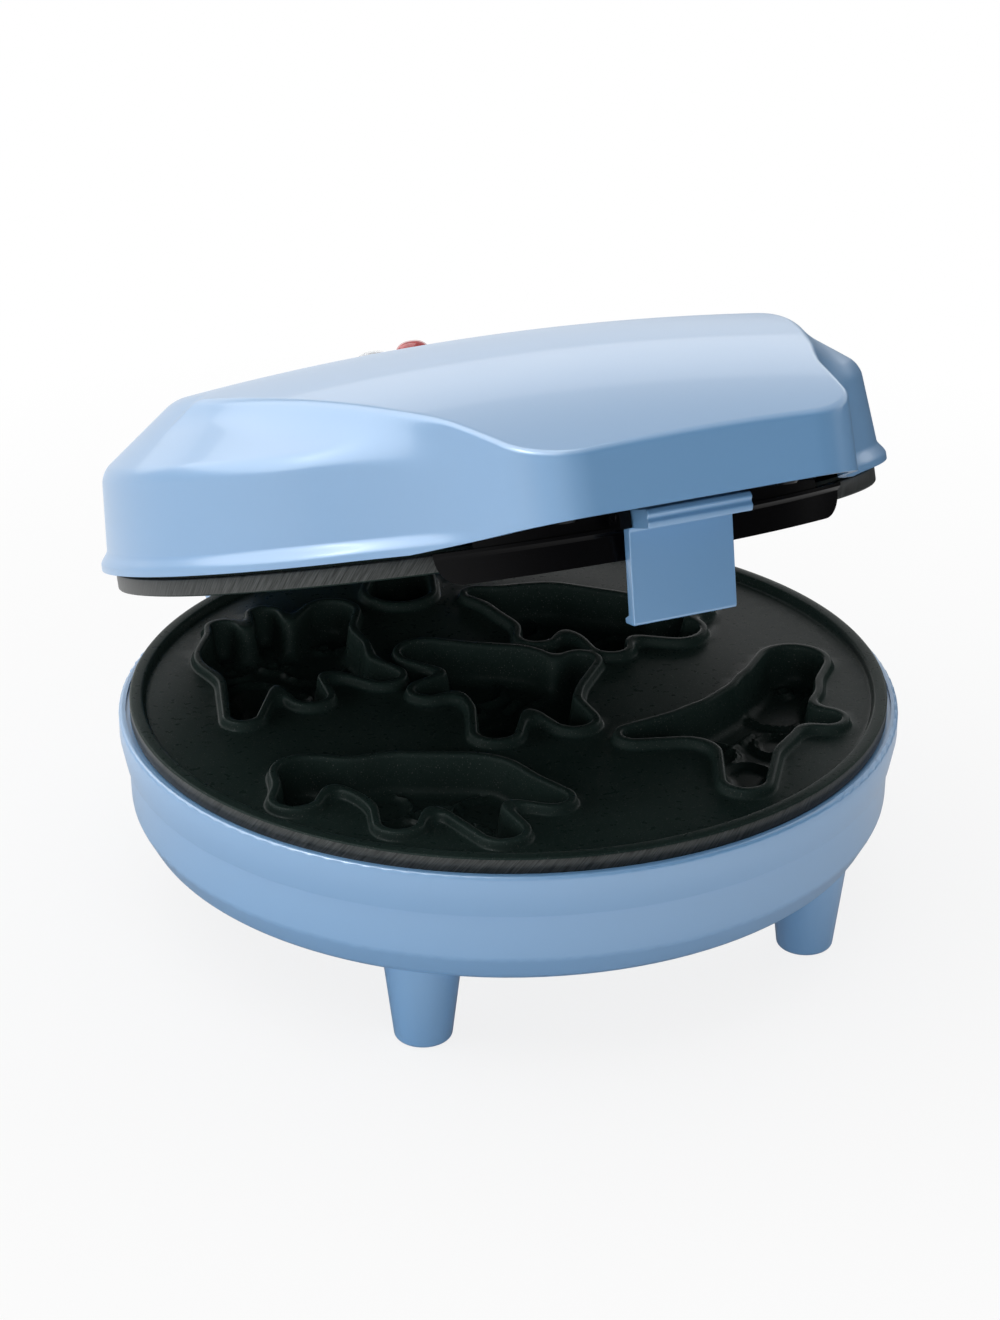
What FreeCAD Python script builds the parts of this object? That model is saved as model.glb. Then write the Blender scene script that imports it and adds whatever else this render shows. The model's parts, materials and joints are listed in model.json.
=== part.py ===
import FreeCAD
import Part
import math
import os

import Sketcher
from FreeCAD import Vector

# Figure maker: a round hinged cooker with two mould plates that bake small cakes.
# Frame: millimetres, +Z up, the table at z = 0 under the plate centre, latch at -Y, hinge at +Y.
# The lid is drawn closed and then turned open about the hinge axis.

# Driving dimensions: name, value and what it measures
SIZES = (
    ("rim_radius", 107.1, "bowl rim and lid lip outside"),
    ("open_angle", 19.84, "lid opening shown at rest, degrees"),
    ("hinge_reach", 12.6, "hinge axis behind the rim"),
    ("hinge_z", 60.4, "hinge axis above the table"),
    ("parting_z", 61.1, "face of the lower plate"),
    ("plate_gap", 0.6, "space between the closed plates"),
    ("plate_inset", 3.1, "edge of the lower plate, in from the rim"),
    ("upper_plate_step", 0.5, "how much smaller the upper plate is"),
    ("plate_rim_width", 3.4, "raised ring at the plate edge"),
    ("plate_rim_depth", 4.6, "thickness of the plate edge"),
    ("plate_rim_slope", 0.8, "lean of the ring's inner face"),
    ("plate_skirt_step", 2.1, "how far the plate web stops inside the edge"),
    ("moat_depth", 2.5, "flat of the plate below the parting face"),
    ("web_back", 5.5, "back of the plate web below the parting face"),
    ("cavity_depth", 12.0, "depth of one half figure"),
    ("cavity_draft", 1.5, "how much a cavity narrows down to its floor"),
    ("cavity_wall", 2.6, "wall round a cavity"),
    ("bowl_floor", 24.0, "underside of the bowl"),
    ("floor_inset", 6.9, "flat underside of the bowl, in from the rim"),
    ("bevel_inset", 2.5, "top of the bowl's bevel, in from the rim"),
    ("bevel_height", 32.3, "top of the bowl's bevel, height"),
    ("wall_inset", 2.2, "bowl wall under the rim band, in from the rim"),
    ("crease_height", 45.2, "lower edge of the rim band"),
    ("crease_step", 0.5, "height of the sloping catch under the band"),
    ("band_inset", 1.2, "rim band at its lower edge, in from the rim"),
    ("band_top", 52.0, "height where the band stops flaring"),
    ("rim_height", 57.5, "top of the bowl rim"),
    ("rim_round", 1.2, "rounding of the rim and lip"),
    ("bowl_wall", 2.4, "bowl wall thickness"),
    ("plate_bay_gap", 1.2, "space between the plate and the bowl rim"),
    ("bevel_round", 5.0, "rounding of the bowl's bevel"),
    ("foot_inset", 17.14, "feet, in from the rim"),
    ("foot_angle", 51.09, "direction of the feet from the X axis, degrees"),
    ("foot_top_radius", 10.6, "foot at the bowl"),
    ("foot_low_radius", 7.5, "foot at the table"),
    ("foot_round", 1.5, "rounding of the foot edge"),
    ("foot_wall", 2.2, "wall of the hollow foot"),
    ("pad_radius", 4.6, "rubber pad in the foot"),
    ("pad_thick", 1.8, "rubber pad thickness"),
    ("pad_proud", 0.4, "how far the pad stands out of the foot"),
    ("snug_fit", 0.05, "radial clearance of pins, pads and screws"),
    ("slide_fit", 0.4, "side clearance of moving pieces"),
    ("hinge_half_width", 48.0, "half the width over the hinge ears"),
    ("knuckle_half_width", 33.7, "half the width of the lid's knuckle"),
    ("hinge_eye_radius", 8.5, "outside of the ears and the knuckle"),
    ("ear_low", 47.0, "underside of the ears"),
    ("slot_reach", 1.1, "front of the slot between the ears, behind the rim"),
    ("hinge_bite", 36.1, "how far the hinge blocks reach in from the rim"),
    ("pin_radius", 2.5, "hinge pin"),
    ("screw_inset", 16.1, "plate screws, in from the rim"),
    ("screw_start", 40.0, "direction of the first plate screw, degrees"),
    ("screw_radius", 1.75, "screw shank"),
    ("screw_length", 14.0, "screw shank length"),
    ("screw_head_radius", 3.5, "screw head"),
    ("screw_head_height", 2.4, "screw head thickness"),
    ("screw_bore_gap", 0.5, "clearance round a sunk screw head"),
    ("post_radius", 5.8, "posts in the bowl"),
    ("post_cap", 3.2, "top of a post, under the reflector"),
    ("boss_radius", 4.5, "screw bosses on the plates"),
    ("reflector_seat", 34.2, "underside of the lower reflector"),
    ("sheet_thick", 0.8, "reflector sheet"),
    ("reflector_inset", 8.8, "outside of the reflectors, in from the rim"),
    ("lower_reflector_top", 50.0, "edge of the lower reflector"),
    ("upper_reflector_low", 68.6, "edge of the upper reflector"),
    ("roof_z", 88.0, "underside of the upper reflector's roof"),
    ("tab_z", 75.0, "underside of the reflector's fixing tabs"),
    ("tab_half_width", 6.0, "half the width of a fixing tab"),
    ("tab_length", 13.0, "front end of the fixing tabs, out from the guard"),
    ("rear_tab_inset", 3.4, "back end of the rear tab, in from the neck"),
    ("element_radius", 66.0, "heating ring, middle of the tube"),
    ("tube_radius", 3.2, "heating tube"),
    ("element_gap", 0.3, "space between the tube and what it lies on"),
    ("element_sweep", 312.0, "sweep of the heating ring, degrees"),
    ("terminal_radius", 1.6, "cold pin of the heating ring"),
    ("terminal_length", 11.5, "cold pin length"),
    ("terminal_hole_radius", 4.0, "hole in the reflector round a cold pin"),
    ("support_width", 9.0, "heating ring support, along the ring"),
    ("support_depth", 11.0, "heating ring support, across the ring"),
    ("gland_z", 40.0, "cord inlet above the table"),
    ("gland_hole_radius", 3.9, "cord inlet hole in the bowl"),
    ("gland_flange_radius", 5.0, "flange of the cord inlet bush"),
    ("gland_flange", 1.6, "flange thickness of the bush"),
    ("gland_bore_radius", 2.7, "hole in the bush"),
    ("block_length", 26.0, "terminal block along X"),
    ("block_depth", 12.0, "terminal block along Y"),
    ("block_height", 7.0, "terminal block height"),
    ("block_inset", 26.9, "terminal block, in from the bowl wall"),
    ("block_bore_radius", 1.7, "wire hole in the terminal block"),
    ("block_pitch", 8.0, "wire holes apart"),
    ("lid_wall", 2.4, "lid wall thickness"),
    ("lip_low", 67.5, "lower edge of the lid"),
    ("lip_high", 69.4, "top of the lid lip"),
    ("neck_inset", 2.1, "lid wall over the lip, in from the rim"),
    ("neck_height", 72.7, "height over the lip"),
    ("shoulder_inset", 1.8, "top of the lid wall, in from the neck"),
    ("shoulder_height", 93.3, "top of the lid wall, height"),
    ("shoulder_round", 4.0, "rounding between wall and facet"),
    ("facet_slope", 0.7366, "rise of the facet over its run"),
    ("facet_run", 45.2, "run of the facet before the crown cuts it"),
    ("crown_top", 114.7, "highest point of the lid"),
    ("crown_fore_radius", 352.0, "crown from front to back"),
    ("crown_side_radius", 720.0, "crown from side to side"),
    ("nose_root_inset", 51.0, "start of the nose sides, in from the neck"),
    ("nose_root_half", 63.2, "half width of the nose at its root"),
    ("nose_reach", 27.6, "nose front face, out from the neck"),
    ("nose_front_half", 43.0, "half width of the nose at its front"),
    ("nose_corner", 13.0, "rounding of the nose corners"),
    ("nose_blend", 16.0, "hollow rounding between nose and wall"),
    ("nose_lift_inset", 14.0, "where the nose's lower edge starts to rise, in from the neck"),
    ("nose_lift", 5.2, "rise of the nose's lower edge"),
    ("guard_step", 0.4, "front guard, out from the rim"),
    ("guard_wall", 2.0, "front guard thickness"),
    ("guard_low", 58.6, "lower edge of the guard"),
    ("guard_half_angle", 31.2, "half the sweep of the guard, degrees"),
    ("guard_neck_angle", 26.0, "half the sweep inside the nose, degrees"),
    ("guard_top", 66.9, "top of the guard's visible part"),
    ("guard_ledge", 1.1, "how far the guard's ledge stands out"),
    ("guard_ledge_low", 64.9, "underside of the guard's ledge"),
    ("guard_corner", 7.0, "rounding of the guard's lower corners"),
    ("flange_thick", 2.0, "guard flange inside the nose"),
    ("guard_screw_x", 30.0, "guard screws from the middle"),
    ("guard_screw_step", 6.5, "guard screws, out from the guard"),
    ("nose_post_radius", 4.0, "screw posts in the nose"),
    ("latch_step", 6.9, "latch pivot, out from the guard"),
    ("latch_z", 70.4, "latch pivot height, lid closed"),
    ("latch_pin_radius", 1.3, "latch pin"),
    ("latch_eye_radius", 3.2, "latch barrel"),
    ("latch_half_width", 14.0, "half the latch width"),
    ("latch_wall", 2.6, "latch plate thickness"),
    ("latch_low", 42.8, "lower edge of the latch, lid closed"),
    ("latch_low_step", 2.8, "front of the latch at its lower edge, out from the guard"),
    ("hook_gap", 0.6, "tip of the latch hook, out from the bowl wall"),
    ("hook_tip", 1.2, "height of the hook's tip"),
    ("hook_clear", 0.5, "space between the hook and its catch"),
    ("grip_length", 12.0, "front of the latch grip, out from the pivot"),
    ("grip_high", 71.5, "top of the latch grip"),
    ("grip_low", 66.8, "underside of the latch grip"),
    ("grip_under", 8.6, "underside of the grip, out from the pivot"),
    ("grip_groove", 0.6, "depth of the grooves in the grip"),
    ("lug_thick", 3.0, "lugs that carry the latch pin"),
    ("lug_low", 67.0, "underside of the lugs"),
    ("lamp_x", 6.2, "signal lamps from the middle, sideways"),
    ("lamp_y", 58.0, "signal lamps behind the middle"),
    ("lamp_radius", 5.0, "dome of a signal lens"),
    ("red_lens_height", 6.6, "dome of the red lens over its seat"),
    ("clear_lens_height", 5.2, "dome of the clear lens over its seat"),
    ("lens_stem_radius", 3.8, "stem of a lens"),
    ("lens_stem_length", 9.0, "stem of a lens under its seat"),
    ("lens_wall", 0.9, "wall of a lens"),
    ("lamp_seat_z", 108.8, "seat of the lenses in the lid"),
    ("lamp_seat_gap", 0.2, "space round a lens in its seat"),
    ("lamp_boss_radius", 6.0, "bosses under the lenses"),
    ("lamp_boss_low", 104.4, "underside of the lamp bosses"),
    ("bulb_radius", 2.2, "neon bulb"),
    ("bulb_length", 10.0, "neon bulb length"),
    ("holder_height", 6.0, "lamp holder height"),
    ("holder_margin", 3.0, "lamp holder round the lens stems"),
    ("thermostat_radius", 8.5, "thermostat body"),
    ("thermostat_height", 9.0, "thermostat height"),
    ("thermostat_flange", 12.5, "half length of the thermostat flange"),
    ("flange_half_depth", 4.5, "half depth of the thermostat flange"),
    ("fuse_radius", 2.0, "thermal fuse"),
    ("fuse_length", 13.0, "thermal fuse length"),
    ("fuse_x", 26.0, "thermal fuse from the middle"),
    ("clip_wall", 0.8, "sheet of the fuse clip"),
    ("clip_length", 8.0, "fuse clip along the fuse"),
)

doc = FreeCAD.newDocument("figure_maker")
sheet = doc.addObject("Spreadsheet::Sheet", "Sizes")


class Size:
    """A dimension that keeps its sheet expression beside its value."""

    def __init__(self, text, value):
        self.text = text
        self.value = float(value)

    @staticmethod
    def of(item):
        return item if isinstance(item, Size) else Size(repr(float(item)), item)

    def __add__(self, other):
        other = Size.of(other)
        return Size(f"({self.text} + {other.text})", self.value + other.value)

    def __sub__(self, other):
        other = Size.of(other)
        return Size(f"({self.text} - {other.text})", self.value - other.value)

    def __mul__(self, other):
        other = Size.of(other)
        return Size(f"({self.text} * {other.text})", self.value * other.value)

    def __truediv__(self, other):
        other = Size.of(other)
        return Size(f"({self.text} / {other.text})", self.value / other.value)

    def __neg__(self):
        return Size(f"(0 - {self.text})", -self.value)

    def cos(self):
        return Size(f"cos({self.text} * 1 deg)", math.cos(math.radians(self.value)))

    def sin(self):
        return Size(f"sin({self.text} * 1 deg)", math.sin(math.radians(self.value)))

    def root(self):
        return Size(f"sqrt({self.text})", math.sqrt(self.value))


class Dimensions:
    """The driving dimensions by name."""


s = Dimensions()
for row, (alias, value, note) in enumerate(SIZES, start=1):
    sheet.set(f"A{row}", note)
    sheet.set(f"B{row}", str(value))
    sheet.setAlias(f"B{row}", alias)
    setattr(s, alias, Size(f"Sizes.{alias}", value))
doc.recompute()

# Radii and places that follow the rim
s.lower_plate_radius = s.rim_radius - s.plate_inset
s.upper_plate_radius = s.lower_plate_radius - s.upper_plate_step
s.floor_radius = s.rim_radius - s.floor_inset
s.bevel_radius = s.rim_radius - s.bevel_inset
s.wall_radius = s.rim_radius - s.wall_inset
s.band_radius = s.rim_radius - s.band_inset
s.screw_circle = s.rim_radius - s.screw_inset
s.reflector_radius = s.rim_radius - s.reflector_inset
s.block_y = s.wall_radius - s.block_inset
s.hinge_y = s.rim_radius + s.hinge_reach
s.slot_front = s.rim_radius + s.slot_reach
s.hinge_root = s.rim_radius - s.hinge_bite
foot_circle = s.rim_radius - s.foot_inset
s.foot_x = foot_circle * s.foot_angle.cos()
s.foot_y = foot_circle * s.foot_angle.sin()
s.neck_radius = s.rim_radius - s.neck_inset
s.shoulder_radius = s.neck_radius - s.shoulder_inset
s.facet_top_radius = s.shoulder_radius - s.facet_run
s.rear_tab_reach = s.neck_radius - s.rear_tab_inset
s.nose_root_y = s.neck_radius - s.nose_root_inset
s.nose_front_y = s.neck_radius + s.nose_reach
s.nose_lift_y = s.neck_radius - s.nose_lift_inset
s.guard_radius = s.rim_radius + s.guard_step
s.guard_screw_y = s.guard_radius + s.guard_screw_step
s.tab_reach = s.guard_radius + s.tab_length
s.latch_y = s.guard_radius + s.latch_step
s.latch_low_y = s.guard_radius + s.latch_low_step
s.hook_reach = s.wall_radius + s.hook_gap
s.grip_reach = s.latch_y + s.grip_length
s.grip_back = s.latch_y + s.grip_under

HALF = Size("0.5", 0.5)
THIRD_TURN = 120.0
THREE = range(3)
# Where straight flanks meet a hinge eye, as shares of the eye radius
FLANK_OUT = 0.92
FLANK_UP = 0.3
SHOULDER_OUT = 0.7
SHOULDER_UP = 0.65
# Steps of a lens dome, as shares of its radius and height
LENS_STEPS = ((1.0, 0.45), (0.8, 0.8), (0.4, 1.0))
SIDES = (-1, 1)
LID_TURN = (
    "placement(vector(0; 0; 0); rotation(vector(1; 0; 0); 0 - Sizes.open_angle); "
    f"vector(0; {s.hinge_y.text}; Sizes.hinge_z))"
)
nodes = []


# Helpers for bodies, sketches and features
def bind(item, path, size):
    """Tie one property to a sheet expression."""
    item.setExpression(path, Size.of(size).text)


def keep(item, label, on_lid=False):
    """Name a finished piece, and turn it open where it rides on the lid."""
    item.Label = label
    if on_lid:
        item.setExpression("Placement", LID_TURN)
    nodes.append(item)
    return item


def new_body(name):
    return doc.addObject("PartDesign::Body", name)


def sketch_on(body, name, role, offset=None):
    """Sketch on one of the body's origin planes, moved along its normal by an offset."""
    plane = next(item for item in body.Origin.OriginFeatures if item.Role == role)
    sketch = body.newObject("Sketcher::SketchObject", name)
    sketch.AttachmentSupport = [(plane, "")]
    sketch.MapMode = "FlatFace"
    if offset is not None:
        bind(sketch, "AttachmentOffset.Base.z", offset)
    return sketch


def pin_point(sketch, geo, point, x, y):
    """Fix a sketch point by its two distances from the origin."""
    for kind, axis, size in (("DistanceX", -2, x), ("DistanceY", -1, y)):
        size = Size.of(size)
        if abs(size.value) < 1e-9:
            sketch.addConstraint(Sketcher.Constraint("PointOnObject", geo, point, axis))
        else:
            index = sketch.addConstraint(Sketcher.Constraint(kind, -1, 1, geo, point, size.value))
            bind(sketch, f"Constraints[{index}]", size)


def polygon(sketch, points):
    """Closed outline through corner points."""
    corners = [(Size.of(x), Size.of(y)) for x, y in points]
    places = [Vector(x.value, y.value, 0) for x, y in corners]
    first = sketch.GeometryCount
    count = len(places)
    for index in range(count):
        sketch.addGeometry(Part.LineSegment(places[index], places[(index + 1) % count]), False)
    for index in range(count):
        following = first + (index + 1) % count
        sketch.addConstraint(Sketcher.Constraint("Coincident", first + index, 2, following, 1))
    for index, (x, y) in enumerate(corners):
        pin_point(sketch, first + index, 1, x, y)


def box_outline(sketch, low_x, high_x, low_y, high_y):
    polygon(sketch, ((low_x, low_y), (high_x, low_y), (high_x, high_y), (low_x, high_y)))


def circle(sketch, x, y, radius):
    x, y, radius = Size.of(x), Size.of(y), Size.of(radius)
    shape = Part.Circle(Vector(x.value, y.value, 0), Vector(0, 0, 1), radius.value)
    geo = sketch.addGeometry(shape, False)
    pin_point(sketch, geo, 3, x, y)
    index = sketch.addConstraint(Sketcher.Constraint("Radius", geo, radius.value))
    bind(sketch, f"Constraints[{index}]", radius)


def extrude(body, sketch, length, kind="Pad", symmetric=False, back=False):
    """Pad or pocket a sketch; back turns the direction round."""
    feature = body.newObject(f"PartDesign::{kind}", f"{sketch.Name}_{kind}")
    feature.Profile = sketch
    bind(feature, "Length", length)
    feature.SideType = "Symmetric" if symmetric else "One side"
    feature.Reversed = back
    return feature


def turn(body, sketch, kind="Revolution", angle=360.0, axis="V_Axis", symmetric=False):
    """Revolve or groove a sketch about one of its axes."""
    feature = body.newObject(f"PartDesign::{kind}", f"{sketch.Name}_{kind}")
    feature.Profile = sketch
    feature.ReferenceAxis = (sketch, [axis])
    bind(feature, "Angle", angle)
    feature.Midplane = symmetric
    return feature


def edges_through(shape, points):
    """Names of the edges that pass through any of the points."""
    spots = [Part.Vertex(point) for point in points]
    found = []
    for index, edge in enumerate(shape.Edges, start=1):
        if any(edge.distToShape(spot)[0] < 0.02 for spot in spots):
            found.append(f"Edge{index}")
    return found


def fillet(body, name, radius, points):
    """Round the edges that pass through the points."""
    doc.recompute()
    base = body.Tip
    feature = body.newObject("PartDesign::Fillet", name)
    feature.Base = (base, edges_through(base.Shape, points))
    bind(feature, "Radius", radius)
    return feature


def ring_point(radius, height):
    """A point on a circle about the Z axis, off the seam."""
    lean = math.radians(33.0)
    return Vector(radius.value * math.cos(lean), radius.value * math.sin(lean), height.value)


def cylinder(name, radius, length, place, axis=(0, 0, 1)):
    """Plain cylinder from a place along an axis direction."""
    item = doc.addObject("Part::Cylinder", name)
    bind(item, "Radius", radius)
    bind(item, "Height", length)
    for letter, size in zip("xyz", place):
        bind(item, f"Placement.Base.{letter}", size)
    item.Placement.Rotation = FreeCAD.Rotation(Vector(0, 0, 1), Vector(*axis))
    return item


def block(name, low, lengths):
    """Plain box from its low corner."""
    item = doc.addObject("Part::Box", name)
    for path, size in zip(("Length", "Width", "Height"), lengths):
        bind(item, path, size)
    for letter, size in zip("xyz", low):
        bind(item, f"Placement.Base.{letter}", size)
    return item


def joined(name, items):
    result = doc.addObject("Part::MultiFuse", name)
    result.Shapes = list(items)
    return result


def cut(name, base, tool):
    result = doc.addObject("Part::Cut", name)
    result.Base = base
    result.Tool = tool
    return result


def group(name, items):
    """Several separate solids as one piece, such as a set of screws."""
    result = doc.addObject("Part::Compound", name)
    result.Links = list(items)
    return result


def screw_places():
    """Centres of the three plate screws."""
    for index in THREE:
        angle = s.screw_start + THIRD_TURN * index
        yield s.screw_circle * angle.cos(), s.screw_circle * angle.sin()


def screws(name, places, seat, side, length):
    """Pan head screws whose heads bear on a seat; the shanks run along Z towards side."""
    items = []
    for index, (x, y) in enumerate(places):
        up = (0, 0, side)
        shank = cylinder(f"{name}_shank{index}", s.screw_radius, length, (x, y, seat), up)
        head = cylinder(
            f"{name}_head{index}", s.screw_head_radius, s.screw_head_height, (x, y, seat), (0, 0, -side)
        )
        items.append(joined(f"{name}_screw{index}", (head, shank)))
    return group(name, items)


# Heights that several pieces share
lower_face = s.parting_z
upper_face = s.parting_z + s.plate_gap
bowl_inner_radius = s.wall_radius - s.bowl_wall
floor_top = s.bowl_floor + s.bowl_wall
plate_seat = lower_face - s.plate_rim_depth
plate_bay_radius = s.lower_plate_radius + s.plate_bay_gap
foot_low = s.pad_proud
boss_low = s.reflector_seat + s.sheet_thick
screw_seat = s.reflector_seat - s.post_cap
roof_top = s.roof_z + s.sheet_thick
pan_depth = s.cavity_depth + s.cavity_wall

# Base bowl: turned shell with moulded feet, posts and hinge ears
bowl = new_body("bowl")
outline = sketch_on(bowl, "bowl_outline", "XZ_Plane")
polygon(
    outline,
    (
        (0, s.bowl_floor),
        (s.floor_radius, s.bowl_floor),
        (s.bevel_radius, s.bevel_height),
        (s.wall_radius, s.crease_height),
        (s.band_radius, s.crease_height + s.crease_step),
        (s.rim_radius, s.band_top),
        (s.rim_radius, s.rim_height),
        (0, s.rim_height),
    ),
)
turn(bowl, outline)
fillet(
    bowl,
    "bowl_bevel_round",
    s.bevel_round,
    (ring_point(s.floor_radius, s.bowl_floor), ring_point(s.bevel_radius, s.bevel_height)),
)
fillet(bowl, "bowl_rim_round", s.rim_round, (ring_point(s.rim_radius, s.rim_height),))

foot_places = [(s.foot_x * side_x, s.foot_y * side_y) for side_x in SIDES for side_y in SIDES]


def foot_cone(kind, name, place, low_radius, top_radius, low, length):
    """Tapered round added to or taken from the bowl."""
    cone = bowl.newObject(f"PartDesign::{kind}", name)
    plane = next(item for item in bowl.Origin.OriginFeatures if item.Role == "XY_Plane")
    cone.AttachmentSupport = [(plane, "")]
    cone.MapMode = "FlatFace"
    bind(cone, "Radius1", low_radius)
    bind(cone, "Radius2", top_radius)
    bind(cone, "Height", length)
    for letter, size in zip("xyz", (place[0], place[1], low)):
        bind(cone, f"AttachmentOffset.Base.{letter}", size)


for index, place in enumerate(foot_places):
    foot_cone(
        "AdditiveCone", f"foot{index}", place,
        s.foot_low_radius, s.foot_top_radius, foot_low, floor_top - foot_low,
    )
fillet(
    bowl,
    "foot_round",
    s.foot_round,
    [Vector(x.value, y.value + s.foot_low_radius.value, foot_low.value) for x, y in foot_places],
)

ear = sketch_on(bowl, "ear_outline", "YZ_Plane")
polygon(
    ear,
    (
        (s.hinge_root, s.ear_low),
        (s.slot_front, s.ear_low),
        (s.hinge_y + s.hinge_eye_radius * FLANK_OUT, s.hinge_z - s.hinge_eye_radius * FLANK_UP),
        (s.hinge_y, s.hinge_z),
        (s.hinge_y - s.hinge_eye_radius * SHOULDER_OUT, s.hinge_z + s.hinge_eye_radius * SHOULDER_UP),
        (s.slot_front, s.rim_height),
        (s.hinge_root, s.rim_height),
    ),
)
extrude(bowl, ear, s.hinge_half_width * 2, symmetric=True)
eye = sketch_on(bowl, "ear_eye", "YZ_Plane")
circle(eye, s.hinge_y, s.hinge_z, s.hinge_eye_radius)
extrude(bowl, eye, s.hinge_half_width * 2, symmetric=True)
slot = sketch_on(bowl, "ear_slot", "YZ_Plane")
slot_back = s.hinge_y + s.hinge_eye_radius * 2
slot_top = s.hinge_z + s.hinge_eye_radius * 2
box_outline(slot, s.slot_front, slot_back, s.bowl_floor, slot_top)
extrude(bowl, slot, (s.knuckle_half_width + s.slide_fit) * 2, "Pocket", symmetric=True)
pin_hole = sketch_on(bowl, "ear_pin_hole", "YZ_Plane")
circle(pin_hole, s.hinge_y, s.hinge_z, s.pin_radius + s.snug_fit)
extrude(bowl, pin_hole, s.hinge_half_width * 3, "Pocket", symmetric=True)

inside = sketch_on(bowl, "bowl_inside", "XZ_Plane")
polygon(
    inside,
    (
        (0, floor_top),
        (s.floor_radius - s.bowl_wall, floor_top),
        (bowl_inner_radius, s.bevel_height + s.bowl_wall),
        (bowl_inner_radius, plate_seat),
        (plate_bay_radius, plate_seat),
        (plate_bay_radius, slot_top),
        (0, slot_top),
    ),
)
turn(bowl, inside, "Groove")

for index, place in enumerate(foot_places):
    foot_cone(
        "SubtractiveCone", f"foot_core{index}", place,
        s.foot_low_radius - s.foot_wall, s.foot_top_radius - s.foot_wall,
        foot_low + s.foot_wall * 2, floor_top - foot_low - s.foot_wall * 2,
    )

posts = sketch_on(bowl, "post_circles", "XY_Plane", s.bowl_floor + s.bowl_wall * HALF)
for x, y in screw_places():
    circle(posts, x, y, s.post_radius)
extrude(bowl, posts, s.reflector_seat - s.bowl_floor - s.bowl_wall * HALF)
bores = sketch_on(bowl, "post_bores", "XY_Plane", s.bowl_floor)
for x, y in screw_places():
    circle(bores, x, y, s.screw_head_radius + s.screw_bore_gap)
extrude(bowl, bores, screw_seat - s.bowl_floor, "Pocket", back=True)
shank_holes = sketch_on(bowl, "post_shank_holes", "XY_Plane", s.bowl_floor)
for x, y in screw_places():
    circle(shank_holes, x, y, s.screw_radius + s.snug_fit)
extrude(bowl, shank_holes, s.reflector_seat - s.bowl_floor + s.bowl_wall, "Pocket", back=True)
pad_holes = sketch_on(bowl, "pad_recesses", "XY_Plane", foot_low)
for x, y in foot_places:
    circle(pad_holes, x, y, s.pad_radius + s.snug_fit)
extrude(bowl, pad_holes, s.pad_thick - s.pad_proud, "Pocket", back=True)
inlet = sketch_on(bowl, "inlet_hole", "XZ_Plane")
circle(inlet, 0, s.gland_z, s.gland_hole_radius)
extrude(bowl, inlet, s.rim_radius + s.gland_flange, "Pocket")
keep(bowl, "base_bowl")

# Rubber pads in the feet
pads = [cylinder(f"pad{i}", s.pad_radius, s.pad_thick, (x, y, 0)) for i, (x, y) in enumerate(foot_places)]
keep(group("pad_group", pads), "foot_pads")

# Hinge pin through both ears and the lid's knuckle
hinge_pin = cylinder(
    "pin", s.pin_radius, s.hinge_half_width * 2, (-s.hinge_half_width, s.hinge_y, s.hinge_z), (1, 0, 0)
)
keep(hinge_pin, "hinge_pin")

# Figures in the mould plates: each limb is a tapered bar with round ends,
# written as start point, start radius, end point and end radius on a plate of the drawn radius
DRAWN_RADIUS = 104.0
FIGURES = {
    "plated_walker": (
        ((-57, 46), 15, (-42, 42), 15),
        ((-60, 40), 8, (-74, 10), 3.5),
        ((-38, 50), 9, (-27, 64), 6.5),
        ((-52, 32), 6, (-53, 14), 4.5),
        ((-37, 32), 6, (-30, 18), 4.5),
        ((-60, 57), 5, (-59, 66), 3.5),
        ((-47, 57), 5, (-45, 70), 3.5),
    ),
    "long_neck": (
        ((-50, -42), 13, (-36, -50), 14),
        ((-54, -38), 8, (-72, -27), 5.5),
        ((-70, -28), 5.8, (-79, -41), 5),
        ((-30, -52), 9, (-19, -68), 4),
        ((-40, -61), 6.5, (-38, -79), 5),
        ((-54, -52), 6.5, (-60, -64), 4.5),
    ),
    "hatchling": (
        ((0, -2), 14, (3, 8), 13),
        ((-4, 17), 9, (-13, 27), 7),
        ((9, -6), 8, (24, 4), 4),
        ((-8, -12), 6.5, (-16, -27), 5),
        ((5, -14), 6.5, (6, -29), 5),
        ((-11, 6), 5, (-22, 4), 4),
    ),
    "runner": (
        ((64, -36), 10, (46, -50), 14),
        ((68, -31), 9, (78, -21), 8.5),
        ((38, -46), 8, (17, -44), 3.5),
        ((42, -61), 7, (31, -80), 5),
        ((58, -48), 6, (68, -57), 4),
    ),
    "horned_walker": (
        ((32, 42), 14, (44, 30), 14),
        ((48, 23), 10, (58, 12), 7),
        ((25, 50), 7, (17, 58), 3),
        ((26, 32), 6, (20, 24), 4.5),
        ((38, 20), 6, (36, 9), 4.5),
        ((56, 24), 4.5, (70, 22), 3),
    ),
    "egg": (((-3, 70), 9, (1, 78), 8),),
}


def round_bar(start, start_radius, end, end_radius, height):
    """Outline of two circles and their outer tangents."""
    run = math.hypot(end[0] - start[0], end[1] - start[1])
    heading = math.atan2(end[1] - start[1], end[0] - start[0])
    spread = math.acos((start_radius - end_radius) / run)

    def on_circle(centre, radius, angle):
        return Vector(centre[0] + radius * math.cos(angle), centre[1] + radius * math.sin(angle), height)

    left_start = on_circle(start, start_radius, heading + spread)
    right_start = on_circle(start, start_radius, heading - spread)
    left_end = on_circle(end, end_radius, heading + spread)
    right_end = on_circle(end, end_radius, heading - spread)
    heel = on_circle(start, start_radius, heading + math.pi)
    toe = on_circle(end, end_radius, heading)
    return Part.Wire(
        [
            Part.Arc(left_start, heel, right_start).toShape(),
            Part.LineSegment(right_start, right_end).toShape(),
            Part.Arc(right_end, toe, left_end).toShape(),
            Part.LineSegment(left_end, left_start).toShape(),
        ]
    )


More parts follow.
